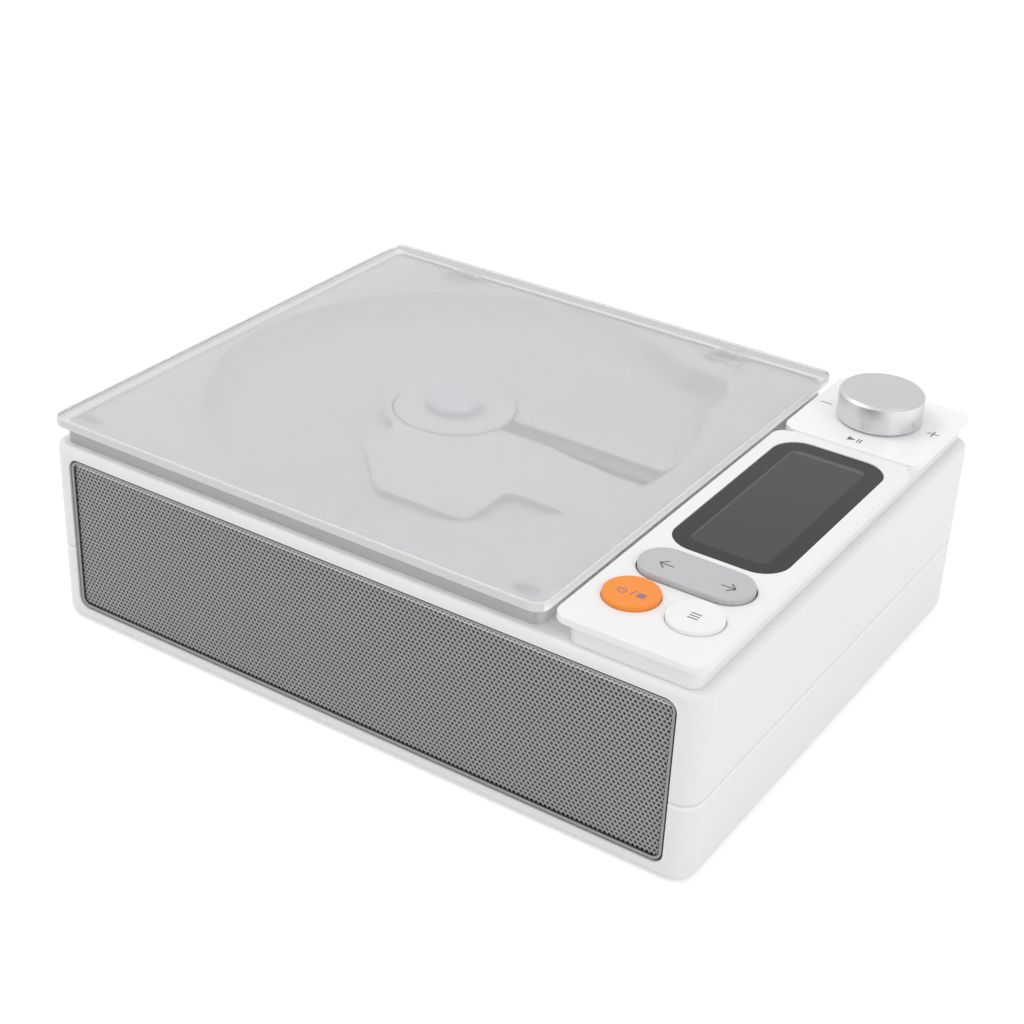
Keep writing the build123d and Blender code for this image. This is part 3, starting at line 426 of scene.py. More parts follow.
caseWhite = skinMaterial("caseWhite", **caseLook["case"])
paintSeamShadeAndHighlight(caseWhite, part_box("upper_shell")[0].z)
finish(caseWhite, "lower_shell", "upper_shell")
finish(skinMaterial("panelWhite", **caseLook["case"]), "panel_base")
finish(skinMaterial("plateWhite", **caseLook["plate"]), "front_plate", "mode_button")
# painted light: the rear plate gets a lighter copy of the plate's white
finish(skinMaterial("rearWhitePaintedLight", **caseLook["rear"]), "rear_plate")


# deck, cover and the parts in the well

wellLook = {
    "coverGrey": {"color": (0.88, 0.89, 0.92, 1), "roughness": 0.42, "grain": 0.03, "grainScale": 2000.0},
    "hubGrey": {"color": (0.80, 0.82, 0.86, 1), "roughness": 0.3, "grain": 0.01},
    "platterGrey": {"color": (0.88, 0.89, 0.92, 1), "roughness": 0.35, "grain": 0.01},
    # painted shade for the sides of the cover, hub and turntable
    "side": (0.46, 0.46, 0.48, 1),
    "sideDepth": 0.35 * mm,
}
deckLook = {
    "skin": {"color": (0.82, 0.825, 0.84, 1), "roughness": 0.45, "grain": 0.03, "grainScale": 2000.0},
    "skirtShade": (0.47, 0.47, 0.48, 1),
    "skirtDepth": 0.2 * mm,
    "corner": 2.6 * mm,
    "wellRadius": 62.25 * mm,
    "wellFade": 3.5 * mm,
    "wellPower": 2.0,
    # painted shade and painted light for the edge of the well's floor
    "wellShade": (0.68, 0.68, 0.70, 1),
    "wellLight": (0.97, 0.97, 0.985, 1),
    "wellTurn": 45.0 * mm,
    "wellDepth": 1.5 * mm,
    "notchReach": 71.0 * mm,
    "rightSkirtLight": (0.82, 0.82, 0.83, 1),
    "rightFade": (1.2 * mm, 0.05 * mm),
}
hubLow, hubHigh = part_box("clamp_hub")
hubCentre = (hubLow + hubHigh) / 2
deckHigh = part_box("disc_deck")[1]


def paintRimShade(material, low, high, corner, depth, color):
    # painted shade: a darker colour on the sides of a rounded plate, and on the outermost strip of its
    # top
    tree = material.node_tree
    base = tree.nodes["Principled BSDF"].inputs["Base Color"]
    inner = base.links[0].from_socket
    window = placeGroup(tree, windowGroup, {
        "Half Width": (high.x - low.x) / 2, "Half Length": (high.y - low.y) / 2, "Corner": corner,
        "Soft": depth})
    middle = (low + high) / 2
    tree.links.new(centredPlace(tree, middle.x, middle.y), window.inputs["Vector"])
    tree.links.new(mixColors(tree, window.outputs["Inside"], color, inner), base)


def belowLevel(tree, z):
    return mathNode(tree, "LESS_THAN", axesOf(tree)["Z"], z)


def paintShadeOnSides(material, name):
    # painted shade: everything under the top face of a node gets the darker colour of the sides, a shade
    # line along its edge
    low = belowLevel(material.node_tree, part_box(name)[1].z - wellLook["sideDepth"])
    paintOver(material, low, wellLook["side"])


def paintWellShadeAndLight(material):
    # painted shade on the floor of the well towards its right wall, and painted light on it towards the
    # other walls
    tree = material.node_tree
    place = centredPlace(tree, hubCentre.x, hubCentre.y)
    circles = []
    for radius in (deckLook["wellRadius"], deckLook["notchReach"]):
        circle = placeGroup(tree, windowGroup, {
            "Half Width": radius, "Half Length": radius, "Corner": radius, "Soft": deckLook["wellFade"]})
        tree.links.new(place, circle.inputs["Vector"])
        circles.append(circle.outputs["Inside"])
    near = mathNode(tree, "MULTIPLY", mathNode(tree, "SUBTRACT", 1.0, circles[0]), circles[1])
    low = belowLevel(tree, deckHigh.z - deckLook["wellDepth"])
    edge = mathNode(tree, "MULTIPLY", mathNode(tree, "POWER", near, deckLook["wellPower"]), low)
    right = rampNode(tree, axesOf(tree, place)["X"], 0, deckLook["wellTurn"])
    shade = mixColors(tree, right, deckLook["wellLight"], deckLook["wellShade"])
    paintOver(material, edge, shade)


def paintLightOnRightSkirt(material):
    # painted light: the side of the deck next to the control panel is painted lighter, against the shade
    # of the gap there
    tree = material.node_tree
    start, end = [deckHigh.x - inset for inset in deckLook["rightFade"]]
    right = rampNode(tree, axesOf(tree)["X"], start, end)
    low = belowLevel(tree, deckHigh.z - deckLook["skirtDepth"])
    paintOver(material, mathNode(tree, "MULTIPLY", right, low), deckLook["rightSkirtLight"])


deckGrey = skinMaterial("deckGrey", **deckLook["skin"])
paintWellShadeAndLight(deckGrey)
# painted shade: the sides of the deck and its outermost strip are darker, for the shade under the lid's
# overhang
paintRimShade(deckGrey, *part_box("disc_deck"), deckLook["corner"], deckLook["skirtDepth"], deckLook["skirtShade"])
paintLightOnRightSkirt(deckGrey)
finish(deckGrey, "disc_deck")
for label, inWell in (
        ("coverGrey", "mechanism_cover"), ("hubGrey", "clamp_hub"), ("platterGrey", "turntable")):
    material = skinMaterial(label, **wellLook[label])
    paintShadeOnSides(material, inWell)
    finish(material, inWell)


# hidden works and small metal

works = {
    "steelBright": {"color": (0.62, 0.62, 0.64, 1), "roughness": 0.32, "tone": 0.05, "toneScale": 400.0,
                    "grain": 0.02, "metallic": 1.0},
    "rodChrome": {"color": (0.85, 0.85, 0.87, 1), "roughness": 0.12, "tone": 0.02, "toneScale": 300.0,
                  "grain": 0.005, "swing": 0.03, "metallic": 1.0},
    "brassTurned": {"color": (0.8, 0.62, 0.3, 1), "roughness": 0.3, "tone": 0.05, "toneScale": 400.0,
                    "metallic": 1.0},
    "chassisDark": {"color": (0.2, 0.2, 0.21, 1), "roughness": 0.4, "tone": 0.05, "toneScale": 300.0,
                    "grain": 0.02, "metallic": 1.0},
    "magnetDark": {"color": (0.13, 0.13, 0.14, 1), "roughness": 0.6, "tone": 0.2, "toneScale": 500.0,
                   "grain": 0.2},
    "plasticBlack": {"color": (0.03, 0.03, 0.033, 1), "roughness": 0.45, "tone": 0.1, "grain": 0.03},
    "rubberGrey": {"color": (0.16, 0.16, 0.165, 1), "roughness": 0.75, "tone": 0.08, "toneScale": 200.0,
                   "grain": 0.1, "grainScale": 1500.0},
    "conePaper": {"color": (0.06, 0.06, 0.065, 1), "roughness": 0.8, "tone": 0.15, "toneScale": 600.0,
                  "grain": 0.3, "grainScale": 3000.0},
    "boardGreen": {"color": (0.03, 0.19, 0.1, 1), "roughness": 0.35, "tone": 0.2, "toneScale": 250.0,
                   "grain": 0.05},
    "batteryWrap": {"color": (0.13, 0.2, 0.38, 1), "roughness": 0.4, "tone": 0.05, "grain": 0.02},
    "lensCoat": {"color": (0.5, 0.6, 0.85, 1), "roughness": 0.05, "tone": 0.02, "grain": 0.0,
                 "transmission": 0.7},
    "hingePale": {"color": (0.85, 0.86, 0.88, 1), "roughness": 0.4, "tone": 0.02, "grain": 0.02,
                  "alpha": 0.15},
    "hingeMetal": {"color": (0.74, 0.75, 0.77, 1), "roughness": 0.4, "tone": 0.02, "grain": 0.02},
}
worksNodes = {
    "steelBright": ("case_screws", "speaker_screws", "panel_screws", "board_screws", "damper_screws",
                    "sled_motor", "spindle_motor", "encoder_body", "clamp_balls", "usb_socket",
                    "left_speaker_basket", "right_speaker_basket"),
    "rodChrome": ("hinge_pins", "rocker_pin", "guide_rods", "encoder_shaft", "encoder_plunger"),
    "brassTurned": ("lead_screw",),
    "chassisDark": ("mechanism_chassis",),
    "magnetDark": ("left_speaker_magnet", "right_speaker_magnet"),
    "plasticBlack": ("speaker_baffle", "display_module", "tact_switches", "laser_sled", "audio_jack"),
    "rubberGrey": ("rubber_feet", "rubber_dampers", "left_speaker_surround", "right_speaker_surround"),
    "conePaper": ("left_speaker_cone", "right_speaker_cone"),
    "boardGreen": ("main_board", "control_board"),
    "batteryWrap": ("battery_pack",),
    "lensCoat": ("laser_lens",),
    "hingePale": ("hinge_leaves", "hinge_leaf_screws"),
    "hingeMetal": ("hinge_brackets", "deck_screws", "hinge_bracket_screws"),
}
for label, pieces in worksNodes.items():
    finish(skinMaterial(label, **works[label]), *pieces)


# buttons and knob

buttonLook = {
    "powerOrange": {"color": (0.95, 0.28, 0.025, 1), "roughness": 0.34, "tone": 0.01, "grain": 0.01},
    "rockerGrey": {"color": (0.52, 0.52, 0.535, 1), "roughness": 0.34, "tone": 0.01, "grain": 0.01},
}
for label, button in (("powerOrange", "power_button"), ("rockerGrey", "track_rocker")):
    finish(skinMaterial(label, **buttonLook[label]), button)
knobLow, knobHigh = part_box("volume_knob")
knobLook = {
    "color": (0.70, 0.70, 0.72, 1),
    "roughness": 0.23,
    "fineness": 20000.0,
    "toneSwing": 0.03,
    "glossSwing": 0.03,
    "grain": 0.2,
    "bevel": 0.6 * mm,
    "bevelShare": 0.97,
    "bevelRoughness": 0.42,
    "foot": 0.31 * mm,
    "footPaintedLight": (0.8, 0.8, 0.82, 1),
}


def dressKnob(material):
    # the bevel is satin; the foot under the rim is painted as pale plastic, painted light that lifts the
    # shade in the gap under the knob
    tree = material.node_tree
    sockets = tree.nodes["Principled BSDF"].inputs
    height = axesOf(tree)["Z"]
    half = knobLook["bevel"] / 2
    bevel = mathNode(tree, "COMPARE", height, knobHigh.z - half, half * knobLook["bevelShare"])
    satin = mathNode(tree, "MULTIPLY", bevel, knobLook["bevelRoughness"])
    gloss = sockets["Roughness"]
    tree.links.new(mathNode(tree, "MAXIMUM", gloss.links[0].from_socket, satin), gloss)
    rim = mathNode(tree, "GREATER_THAN", height, knobLow.z + knobLook["foot"])
    tree.links.new(rim, sockets["Metallic"])
    paintOver(material, mathNode(tree, "SUBTRACT", 1.0, rim), knobLook["footPaintedLight"])


knobSilver = turnedMaterial("knobSilver", knobLook, ((knobLow + knobHigh) / 2).xy)
dressKnob(knobSilver)
finish(knobSilver, "volume_knob")
print("case, deck and control finishes ready")


# cloth behind the grille

clothLook = {
    "threadScale": 900.0,
    "relief": 0.6,
    "threadDepth": 0.1 * mm,
    "dark": (0.010, 0.010, 0.011, 1),
    "light": (0.022, 0.022, 0.024, 1),
    "roughness": 0.95,
}


def makeClothMaterial():
    material, tree, shader = newMaterial("clothBlack")
    place = tree.nodes.new("ShaderNodeTexCoord")
    waves = []
    for direction in ("X", "Z"):
        wave = tree.nodes.new("ShaderNodeTexWave")
        wave.bands_direction = direction
        wave.inputs["Scale"].default_value = clothLook["threadScale"]
        linkNodes(tree, place, "Object", wave, "Vector")
        waves.append(wave.outputs["Fac"])
    weave = mathNode(tree, "MULTIPLY", waves[0], waves[1])
    tone = mixColors(tree, weave, clothLook["dark"], clothLook["light"])
    tree.links.new(tone, shader.inputs["Base Color"])
    bumpNode(tree, weave, clothLook["relief"], clothLook["threadDepth"], shader)
    shader.inputs["Roughness"].default_value = clothLook["roughness"]
    return material


finish(makeClothMaterial(), "acoustic_cloth")


# perforated grille, in two halves that meet at the middle

grille = {
    "pitch": 1.155 * mm,
    "rowStep": 1.0 * mm,
    "holeRadius": 0.385 * mm,
    "holeSides": 12,
    "corner": 1.7 * mm,
    "cornerCuts": 4,
    "weld": 1e-6,
    "cutWeld": 1e-7,
    "color": (0.32, 0.32, 0.325, 1),
    "frameColor": (0.34, 0.34, 0.345, 1),
    "skin": {"roughness": 0.45, "tone": 0.03, "toneScale": 60.0, "grain": 0.04, "grainScale": 6000.0},
    "frameCorner": 2.7 * mm,
    # painted shadow lines along the frame's edges
    "outerGapShadow": 0.22 * mm,
    "innerGapShadow": 0.85 * mm,
    "gapShadowColor": (0.03, 0.03, 0.03, 1),
    "topRow": 0.9 * mm,
    "topRowHighlight": (0.6, 0.6, 0.605, 1),
}
sheetLow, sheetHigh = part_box("speaker_grille")


def webPatch(bm):
    # the metal between three neighbouring holes, whose centres are at the corners of a triangle
    pitch = grille["pitch"]
    rise = grille["rowStep"]
    corners = [(Vector((0, 0, 0)), 0), (Vector((pitch, 0, 0)), 120), (Vector((pitch / 2, 0, rise)), 240)]
    step = 360 / grille["holeSides"]
    points = []
    for centre, start in corners:
        for k in range(int(60 / step), -1, -1):
            angle = radians(start + k * step)
            reach = Vector((cos(angle), 0, sin(angle))) * grille["holeRadius"]
            points.append(bm.verts.new(centre + reach))
    return bm.faces.new(points)


def wholeMesh(bm):
    return bm.verts[:] + bm.edges[:] + bm.faces[:]


def vertsOf(geom):
    return [item for item in geom if isinstance(item, bmesh.types.BMVert)]


def copyAlong(bm, shift, count):
    # repeats what is there, so that it stands count times in a row
    pattern = wholeMesh(bm)
    for k in range(1, count):
        made = bmesh.ops.duplicate(bm, geom=pattern)["geom"]
        bmesh.ops.translate(bm, verts=vertsOf(made), vec=shift * k)


def cutAway(bm, point, normal):
    bmesh.ops.bisect_plane(bm, geom=wholeMesh(bm), plane_co=point, plane_no=normal, clear_outer=True,
                           dist=grille["cutWeld"])


def grilleHalf(name, side):
    halfWidth = sheetHigh.x
    middle = (sheetLow.z + sheetHigh.z) / 2
    halfHeight = (sheetHigh.z - sheetLow.z) / 2
    pitch = grille["pitch"]
    rise = grille["rowStep"]
    bm = bmesh.new()
    webPatch(bm)
    turned = vertsOf(bmesh.ops.duplicate(bm, geom=wholeMesh(bm))["geom"])
    bmesh.ops.rotate(bm, verts=turned, cent=(pitch / 4 * 3, 0, rise / 2),
                     matrix=Matrix.Rotation(pi, 3, "Y"))
    bmesh.ops.remove_doubles(bm, verts=bm.verts[:], dist=grille["weld"])
    columns = int(halfWidth / pitch) + 3
    copyAlong(bm, Vector((pitch, 0, 0)), columns)
    # the next row is half a pitch over
    row = vertsOf(bmesh.ops.duplicate(bm, geom=wholeMesh(bm))["geom"])
    bmesh.ops.translate(bm, verts=row, vec=(-pitch / 2, 0, rise))
    rows = int(halfHeight / rise) + 2
    copyAlong(bm, Vector((0, 0, 2 * rise)), rows)
    bmesh.ops.remove_doubles(bm, verts=bm.verts[:], dist=grille["weld"])
    bmesh.ops.translate(bm, verts=bm.verts[:], vec=(-pitch, 0, middle - (rows - 0.5) * rise))
    bmesh.ops.triangulate(bm, faces=bm.faces[:])
    cutAway(bm, (0, 0, 0), (-1, 0, 0))
    cutAway(bm, (halfWidth, 0, 0), (1, 0, 0))
    cutAway(bm, (0, 0, sheetHigh.z), (0, 0, 1))
    cutAway(bm, (0, 0, sheetLow.z), (0, 0, -1))
    for up in (1, -1):
        centre = Vector((halfWidth - grille["corner"], 0, middle + up * (halfHeight - grille["corner"])))
        for k in range(grille["cornerCuts"]):
            angle = radians(90 * (k + 0.5) / grille["cornerCuts"])
            away = Vector((cos(angle), 0, up * sin(angle)))
            cutAway(bm, centre + away * grille["corner"], away)
    bmesh.ops.dissolve_degenerate(bm, dist=grille["weld"], edges=bm.edges[:])
    if side < 0:
        bmesh.ops.scale(bm, verts=bm.verts[:], vec=(-1, 1, 1))
    bmesh.ops.translate(bm, verts=bm.verts[:], vec=(0, sheetLow.y, 0))
    back = vertsOf(bmesh.ops.extrude_face_region(bm, geom=bm.faces[:], use_keep_orig=True)["geom"])
    bmesh.ops.translate(bm, verts=back, vec=(0, sheetHigh.y - sheetLow.y, 0))
    bmesh.ops.recalc_face_normals(bm, faces=bm.faces[:])
    piece = addPiece(name, bm)
    print(name, len(piece.data.polygons), "faces")
    finish(grilleMetal, piece)
    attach(piece, "case")
    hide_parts("speaker_grille")


def paintFrameGapShadows(material):
    # painted shadow: thin dark lines along the outer and the inner edge of the frame, for the shade in
    # the gaps there
    tree = material.node_tree
    low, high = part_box("grille_frame")
    x, _, z = axesOf(tree)
    flat = tree.nodes.new("ShaderNodeCombineXYZ")
    tree.links.new(x, flat.inputs["X"])
    tree.links.new(mathNode(tree, "SUBTRACT", z, (low.z + high.z) / 2), flat.inputs["Y"])
    window = placeGroup(tree, windowGroup, {
        "Half Width": (high.x - low.x) / 2, "Half Length": (high.z - low.z) / 2,
        "Corner": grille["frameCorner"], "Soft": tiny})
    tree.links.new(flat.outputs[0], window.inputs["Vector"])
    outer = mathNode(tree, "LESS_THAN", window.outputs["Depth"], grille["outerGapShadow"])
    inner = mathNode(tree, "GREATER_THAN", window.outputs["Depth"], grille["innerGapShadow"])
    paintOver(material, mathNode(tree, "MAXIMUM", outer, inner), grille["gapShadowColor"])


def paintTopRowHighlight(material):
    # painted highlight: the top row of the sheet is painted lighter, as if it caught the light
    tree = material.node_tree
    row = mathNode(tree, "GREATER_THAN", axesOf(tree)["Z"], sheetHigh.z - grille["topRow"])
    paintOver(material, row, grille["topRowHighlight"])


frameMetal = skinMaterial("frameMetal", grille["frameColor"], **grille["skin"])
paintFrameGapShadows(frameMetal)
grilleMetal = skinMaterial("grilleMetal", grille["color"], **grille["skin"])
paintTopRowHighlight(grilleMetal)
finish(frameMetal, "grille_frame")
grilleHalf("grille_right_half", 1)
grilleHalf("grille_left_half", -1)


# screen window

screen = {
    "middle": (69.9 * mm, -0.3 * mm),
    "halfWidth": 9.6 * mm,
    "halfLength": 26.1 * mm,
    "corner": 2.3 * mm,
    "soft": 0.15 * mm,
    "backLine": 1.5 * mm,
    "sideLine": 0.5 * mm,
    "black": (0.004, 0.004, 0.005, 1),
    "display": (0.03, 0.03, 0.032, 1),
    "edge": (0.075, 0.075, 0.078, 1),
    "haze": 0.04,
    "hazeScale": 60.0,
    "gloss": 0.12,
}


def makeScreenMaterial():
    # a black window with the edges of the display just showing
    material, tree, shader = newMaterial("screenBlack")
    place = centredPlace(tree, *screen["middle"])
    window = placeGroup(tree, windowGroup, {
        "Half Width": screen["halfWidth"], "Half Length": screen["halfLength"],
        "Corner": screen["corner"], "Soft": screen["soft"]})
    tree.links.new(place, window.inputs["Vector"])
    x, y, _ = axesOf(tree, place)
    backLine = mathNode(tree, "GREATER_THAN", y, screen["halfLength"] - screen["backLine"])
    sideLine = mathNode(tree, "LESS_THAN", x, screen["sideLine"] - screen["halfWidth"])
    edges = mathNode(tree, "MAXIMUM", backLine, sideLine)
    line = mathNode(tree, "MULTIPLY", edges, window.outputs["Inside"])
    inner = mixColors(tree, window.outputs["Inside"], screen["black"], screen["display"])
    tree.links.new(mixColors(tree, line, inner, screen["edge"]), shader.inputs["Base Color"])
    haze = noiseNode(tree, place, screen["hazeScale"])
    gloss = mathNode(tree, "MULTIPLY_ADD", haze, screen["haze"], screen["gloss"])
    tree.links.new(gloss, shader.inputs["Roughness"])
    return material


finish(makeScreenMaterial(), "screen_lens")


# milky lid with paler edges, painted shade along its left and back edges and painted glow on its side
# edges

lidLook = {
    "sheet": {"color": (0.935, 0.935, 0.945, 1), "roughness": 0.09, "tone": 0.008, "toneScale": 15.0,
              "grain": 0.0, "swing": 0.03, "transmission": 0.68, "ior": 1.2},
    "rim": {"color": (0.88, 0.88, 0.88, 1), "roughness": 0.3, "tone": 0.01, "grain": 0.0,
            "transmission": 0.2, "ior": 1.2},
    "corner": 3.6 * mm,
    "cornerSegments": 8,
    "round": 0.5 * mm,
    "roundSegments": 6,
    "skin": 0.02 * mm,
    "lift": 0.02 * mm,
    "beyond": 5 * mm,
    # painted shade: darker strips along the lid's left and back edges
    "bands": (
        {"left": 2.4 * mm, "back": -5.0 * mm, "fade": 1.0 * mm, "color": (0.40, 0.40, 0.41, 1)},
        {"left": -5.0 * mm, "back": 4.2 * mm, "fade": 1.0 * mm, "color": (0.52, 0.52, 0.53, 1)},
        {"left": -5.0 * mm, "back": 1.9 * mm, "fade": 0.3 * mm, "color": (0.64, 0.64, 0.65, 1)},
        {"left": 0.9 * mm, "back": 1.3 * mm, "fade": 0.5 * mm, "color": (0.84, 0.84, 0.85, 1)},
    ),
    # painted glow on the lid's right and left edges
    "glow": (0.3, 0.3, 0.3, 1),
    "leftPaintedGlow": (0.25, 0.25, 0.25, 1),
    "leftEdge": 0.5 * mm,
}


def edgesAlong(bm, test):
    return [edge for edge in bm.edges if test(*(vert.co for vert in edge.verts))]


def roundEdges(bm, edges, offset, segments):
    bmesh.ops.bevel(bm, geom=edges, offset=offset, offset_type="OFFSET", affect="EDGES",
                    segments=segments, profile=0.5, material=-1)


def makeLidRim():
    # a skin on the front and right sides of the lid and on their roundings
    low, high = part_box("lid")
    middle = (low + high) / 2
    backLeft = Vector((low.y - high.y, high.x - low.x, 0)).normalized()
    bm = bmesh.new()
    bmesh.ops.create_cube(bm, size=1)
    bmesh.ops.scale(bm, verts=bm.verts[:], vec=high - low + Vector((1, 1, 1)) * 2 * lidLook["lift"])
    bmesh.ops.translate(bm, verts=bm.verts[:], vec=middle)
    uprights = edgesAlong(bm, lambda one, two: abs(one.z - two.z) > mm)
    roundEdges(bm, uprights, lidLook["corner"], lidLook["cornerSegments"])
    level = edgesAlong(bm, lambda one, two: abs(one.z - two.z) < tiny)
    roundEdges(bm, level, lidLook["round"], lidLook["roundSegments"])
    away = [face for face in bm.faces if abs(face.normal.z) > 0.99
            or (face.calc_center_median() - middle).normalized().dot(backLeft) > 0]
    bmesh.ops.delete(bm, geom=away, context="FACES")
    bmesh.ops.solidify(bm, geom=bm.faces[:], thickness=lidLook["skin"])
    bmesh.ops.recalc_face_normals(bm, faces=bm.faces[:])
    return addPiece("lid_rim", bm)


def paintedRightEdgeGlow(material, low, high):
    # painted glow: the right edge of the rim glows, most at the bottom, in place of the light the sheet
    # would let out there
    tree = material.node_tree
    x, _, z = axesOf(tree)
    right = mathNode(tree, "GREATER_THAN", x, high.x - lidLook["round"])
    factor = mathNode(tree, "MULTIPLY", right, rampNode(tree, z, high.z, low.z))
    glowHere(material, factor, lidLook["glow"])


def paintedLeftEdgeGlow(material, low):
    # a weaker painted glow on the left edge of the sheet
    tree = material.node_tree
    left = mathNode(tree, "LESS_THAN", axesOf(tree)["X"], low.x + lidLook["leftEdge"])
    glowHere(material, left, lidLook["leftPaintedGlow"])


bumper = {
    "length": 6.2 * mm,
    "gap": 0.06 * mm,
    "segments": 8,
    "roundShare": 0.999,
    "skin": {"color": (0.42, 0.42, 0.43, 1), "roughness": 0.3, "grain": 0.0},
}


def makeBumpers():
    # two soft pills under the front corners of the lid, a hair clear of it
    low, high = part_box("lid_bumpers")
    width = high.y - low.y
    gap = bumper["gap"]
    bm = bmesh.new()
    for x in (low.x + bumper["length"] / 2, high.x - bumper["length"] / 2):
        made = bmesh.ops.create_cube(bm, size=1)["verts"]
        bmesh.ops.scale(bm, verts=made, vec=(bumper["length"], width, high.z - low.z - gap))
        middle = (x, (low.y + high.y) / 2, (low.z + high.z - gap) / 2)
        bmesh.ops.translate(bm, verts=made, vec=middle)
    uprights = edgesAlong(bm, lambda one, two: (one - two).xy.length < tiny)
    roundEdges(bm, uprights, width / 2 * bumper["roundShare"], bumper["segments"])
    return addPiece("bumper_pads", bm)


bumperPads = makeBumpers()
finish(skinMaterial("bumperClear", **bumper["skin"]), bumperPads)
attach(bumperPads, "lid")
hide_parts("lid_bumpers")
lidMilk = skinMaterial("lidMilk", **lidLook["sheet"])
rimMilk = skinMaterial("rimMilk", **lidLook["rim"])
lidLow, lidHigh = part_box("lid")
# painted shade along the lid's left and back edges
for band in lidLook["bands"]:
    low = lidLow + Vector((band["left"], -lidLook["beyond"], 0))
    high = lidHigh + Vector((lidLook["beyond"], -band["back"], 0))
    paintRimShade(lidMilk, low, high, lidLook["corner"], band["fade"], band["color"])
paintedRightEdgeGlow(rimMilk, lidLow, lidHigh)
paintedLeftEdgeGlow(lidMilk, lidLow)
finish(lidMilk, "lid")
lidRim = makeLidRim()
finish(rimMilk, lidRim)
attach(lidRim, "lid")
print("screen and lid ready")


# printed marks on the plates and buttons

marks = {
    "thick": 0.04 * mm,
    "sink": 0.01 * mm,
    "line": 0.32 * mm,
    "ink": (0.17, 0.17, 0.175, 1),
    "arrowInk": (0.17, 0.17, 0.175, 1),
    "powerInk": (0.33, 0.19, 0.22, 1),
    "skin": {"roughness": 0.5, "tone": 0.1, "toneScale": 900.0, "grain": 0.02},
    "minus": (56.05 * mm, 53.05 * mm),
    "plus": (84.3 * mm, 53.6 * mm),
    "signSize": 3.1 * mm,
    "play": (69.9 * mm, 38.95 * mm),
    "playSize": 2.0 * mm,
    "pauseBars": (1.1 * mm, 1.8 * mm),
    "arrows": (63.5 * mm, 78.2 * mm),
    "arrowDrop": 1.1 * mm,
    "arrowLength": 3.3 * mm,
    "arrowHead": 1.55 * mm,
    "arrowLine": 0.38 * mm,
    "powerRing": (-1.85 * mm, -0.75 * mm),
    "powerRadius": 0.95 * mm,
    "powerGap": 70,
    "powerSteps": 18,
    "powerStroke": 1.14 * mm,
    "slash": (0.6 * mm, -0.45 * mm),
    "slashLength": 2.2 * mm,
    "slashLean": 78,
    "square": (2.6 * mm, -0.5 * mm),
    "squareSize": 1.8 * mm,
    "modeSize": 2.4 * mm,
    "modeStep": 0.95 * mm,
    "modeDrop": 0.5 * mm,
}


def addBar(bm, start, end, width, z):
    run = Vector(end) - Vector(start)
    made = bmesh.ops.create_cube(bm, size=1)["verts"]
    bmesh.ops.scale(bm, verts=made, vec=(run.length, width, marks["thick"]))
    bmesh.ops.rotate(bm, verts=made, matrix=Matrix.Rotation(atan2(run.y, run.x), 3, "Z"))
    middle = (Vector(start) + Vector(end)) / 2
    bmesh.ops.translate(bm, verts=made, vec=(middle.x, middle.y, z))


def addTriangle(bm, x, y, size, z):
    # points towards +X
    made = bmesh.ops.create_cone(bm, cap_ends=True, segments=3, radius1=size / 2, radius2=size / 2,
                                 depth=marks["thick"])["verts"]
    tip = max(made, key=lambda vert: vert.co.length).co
    bmesh.ops.rotate(bm, verts=made, matrix=Matrix.Rotation(-atan2(tip.y, tip.x), 3, "Z"))
    bmesh.ops.scale(bm, verts=made, vec=(4 / 3, 2 / sqrt(3), 1))
    bmesh.ops.translate(bm, verts=made, vec=(x - size / 6, y, z))


def addArc(bm, x, y, radius, gap, z):
    # an open ring with its gap towards +Y
    before = set(bm.verts)
    made = bmesh.ops.create_grid(bm, x_segments=1, y_segments=1, size=0.5)["verts"]
    bmesh.ops.scale(bm, verts=made, vec=(marks["line"], marks["thick"], 1))
    bmesh.ops.rotate(bm, verts=made, matrix=Matrix.Rotation(pi / 2, 3, "X"))
    bmesh.ops.translate(bm, verts=made, vec=(radius, 0, 0))
    bmesh.ops.rotate(bm, verts=made, matrix=Matrix.Rotation(radians(90 + gap / 2), 3, "Z"))
    face = made[0].link_faces[0]
    bmesh.ops.spin(bm, geom=[face] + list(face.edges) + made, axis=(0, 0, 1), cent=(0, 0, 0),
                   angle=radians(360 - gap), steps=marks["powerSteps"])
    ring = [vert for vert in bm.verts if vert not in before]
    bmesh.ops.translate(bm, verts=ring, vec=(x, y, z))


def makeMark(name, bm, material, body):
    bmesh.ops.recalc_face_normals(bm, faces=bm.faces[:])
    piece = addPiece(name, bm)
    finish(material, piece)
    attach(piece, body)


def topMiddle(name):
    low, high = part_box(name)
    return (low.x + high.x) / 2, (low.y + high.y) / 2, high.z + marks["thick"] / 2 - marks["sink"]


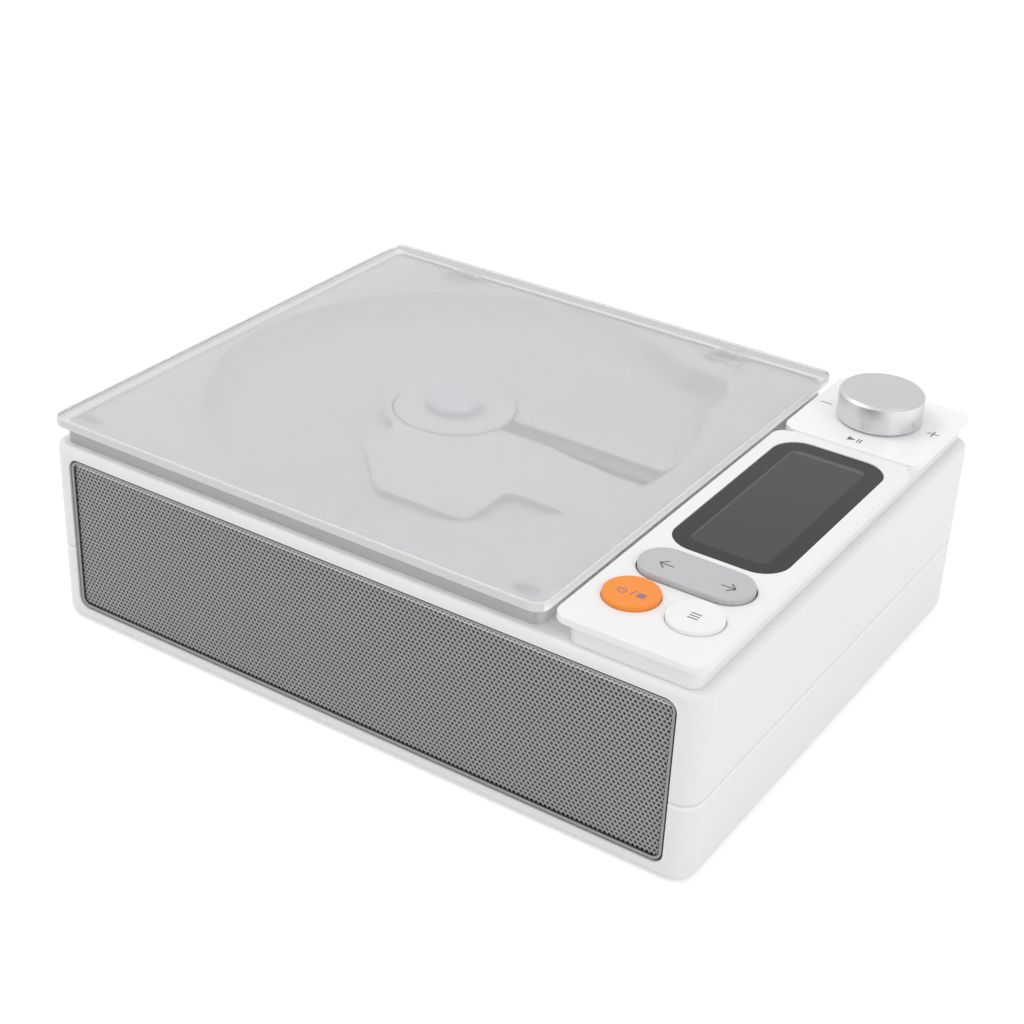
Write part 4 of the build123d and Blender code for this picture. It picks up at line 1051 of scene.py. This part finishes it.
def makePlateMarks():
    bm = bmesh.new()
    z = topMiddle("rear_plate")[2]
    half = marks["signSize"] / 2
    for x, y in (marks["minus"], marks["plus"]):
        addBar(bm, (x - half, y), (x + half, y), marks["line"], z)
    x, y = marks["plus"]
    for end in (-1, 1):
        addBar(bm, (x, y + end * marks["line"] / 2), (x, y + end * half), marks["line"], z)
    x, y = marks["play"]
    size = marks["playSize"]
    addTriangle(bm, x - size / 4, y, size, z)
    for away in marks["pauseBars"]:
        addBar(bm, (x + away, y - size / 2), (x + away, y + size / 2), marks["line"], z)
    makeMark("plate_marks", bm, markInk, "case")


def makeRockerMarks():
    bm = bmesh.new()
    y, z = topMiddle("track_rocker")[1:]
    y -= marks["arrowDrop"]
    for side, x in zip((-1, 1), marks["arrows"]):
        tip = x + side * marks["arrowLength"] / 2
        addBar(bm, (tip - side * marks["arrowLength"], y), (tip, y), marks["arrowLine"], z)
        for end in (-1, 1):
            back = (tip - side * marks["arrowHead"], y + end * marks["arrowHead"])
            addBar(bm, (tip, y), back, marks["arrowLine"], z)
    makeMark("rocker_marks", bm, arrowInk, "track_rocker")


def makePowerMarks():
    bm = bmesh.new()
    top = Vector(topMiddle("power_button"))
    z = top.z
    ring = top + Vector((*marks["powerRing"], 0))
    addArc(bm, ring.x, ring.y, marks["powerRadius"], marks["powerGap"], z)
    addBar(bm, (ring.x, ring.y), (ring.x, ring.y + marks["powerStroke"]), marks["line"], z)
    slash = top + Vector((*marks["slash"], 0))
    lean = radians(marks["slashLean"])
    half = Vector((cos(lean), sin(lean), 0)) * marks["slashLength"] / 2
    addBar(bm, (slash - half).xy, (slash + half).xy, marks["line"], z)
    square = top + Vector((*marks["square"], 0))
    half = marks["squareSize"] / 2
    addBar(bm, (square.x - half, square.y), (square.x + half, square.y), marks["squareSize"], z)
    makeMark("power_marks", bm, powerInk, "power_button")


def makeModeMarks():
    bm = bmesh.new()
    x, y, z = topMiddle("mode_button")
    y -= marks["modeDrop"]
    half = marks["modeSize"] / 2
    for row in (-1, 0, 1):
        level = y + row * marks["modeStep"]
        addBar(bm, (x - half, level), (x + half, level), marks["line"], z)
    makeMark("mode_marks", bm, markInk, "mode_button")


markInk = skinMaterial("markInk", marks["ink"], **marks["skin"])
arrowInk = skinMaterial("arrowInk", marks["arrowInk"], **marks["skin"])
powerInk = skinMaterial("powerInk", marks["powerInk"], **marks["skin"])
makePlateMarks()
makeRockerMarks()
makePowerMarks()
makeModeMarks()
print("marks ready")
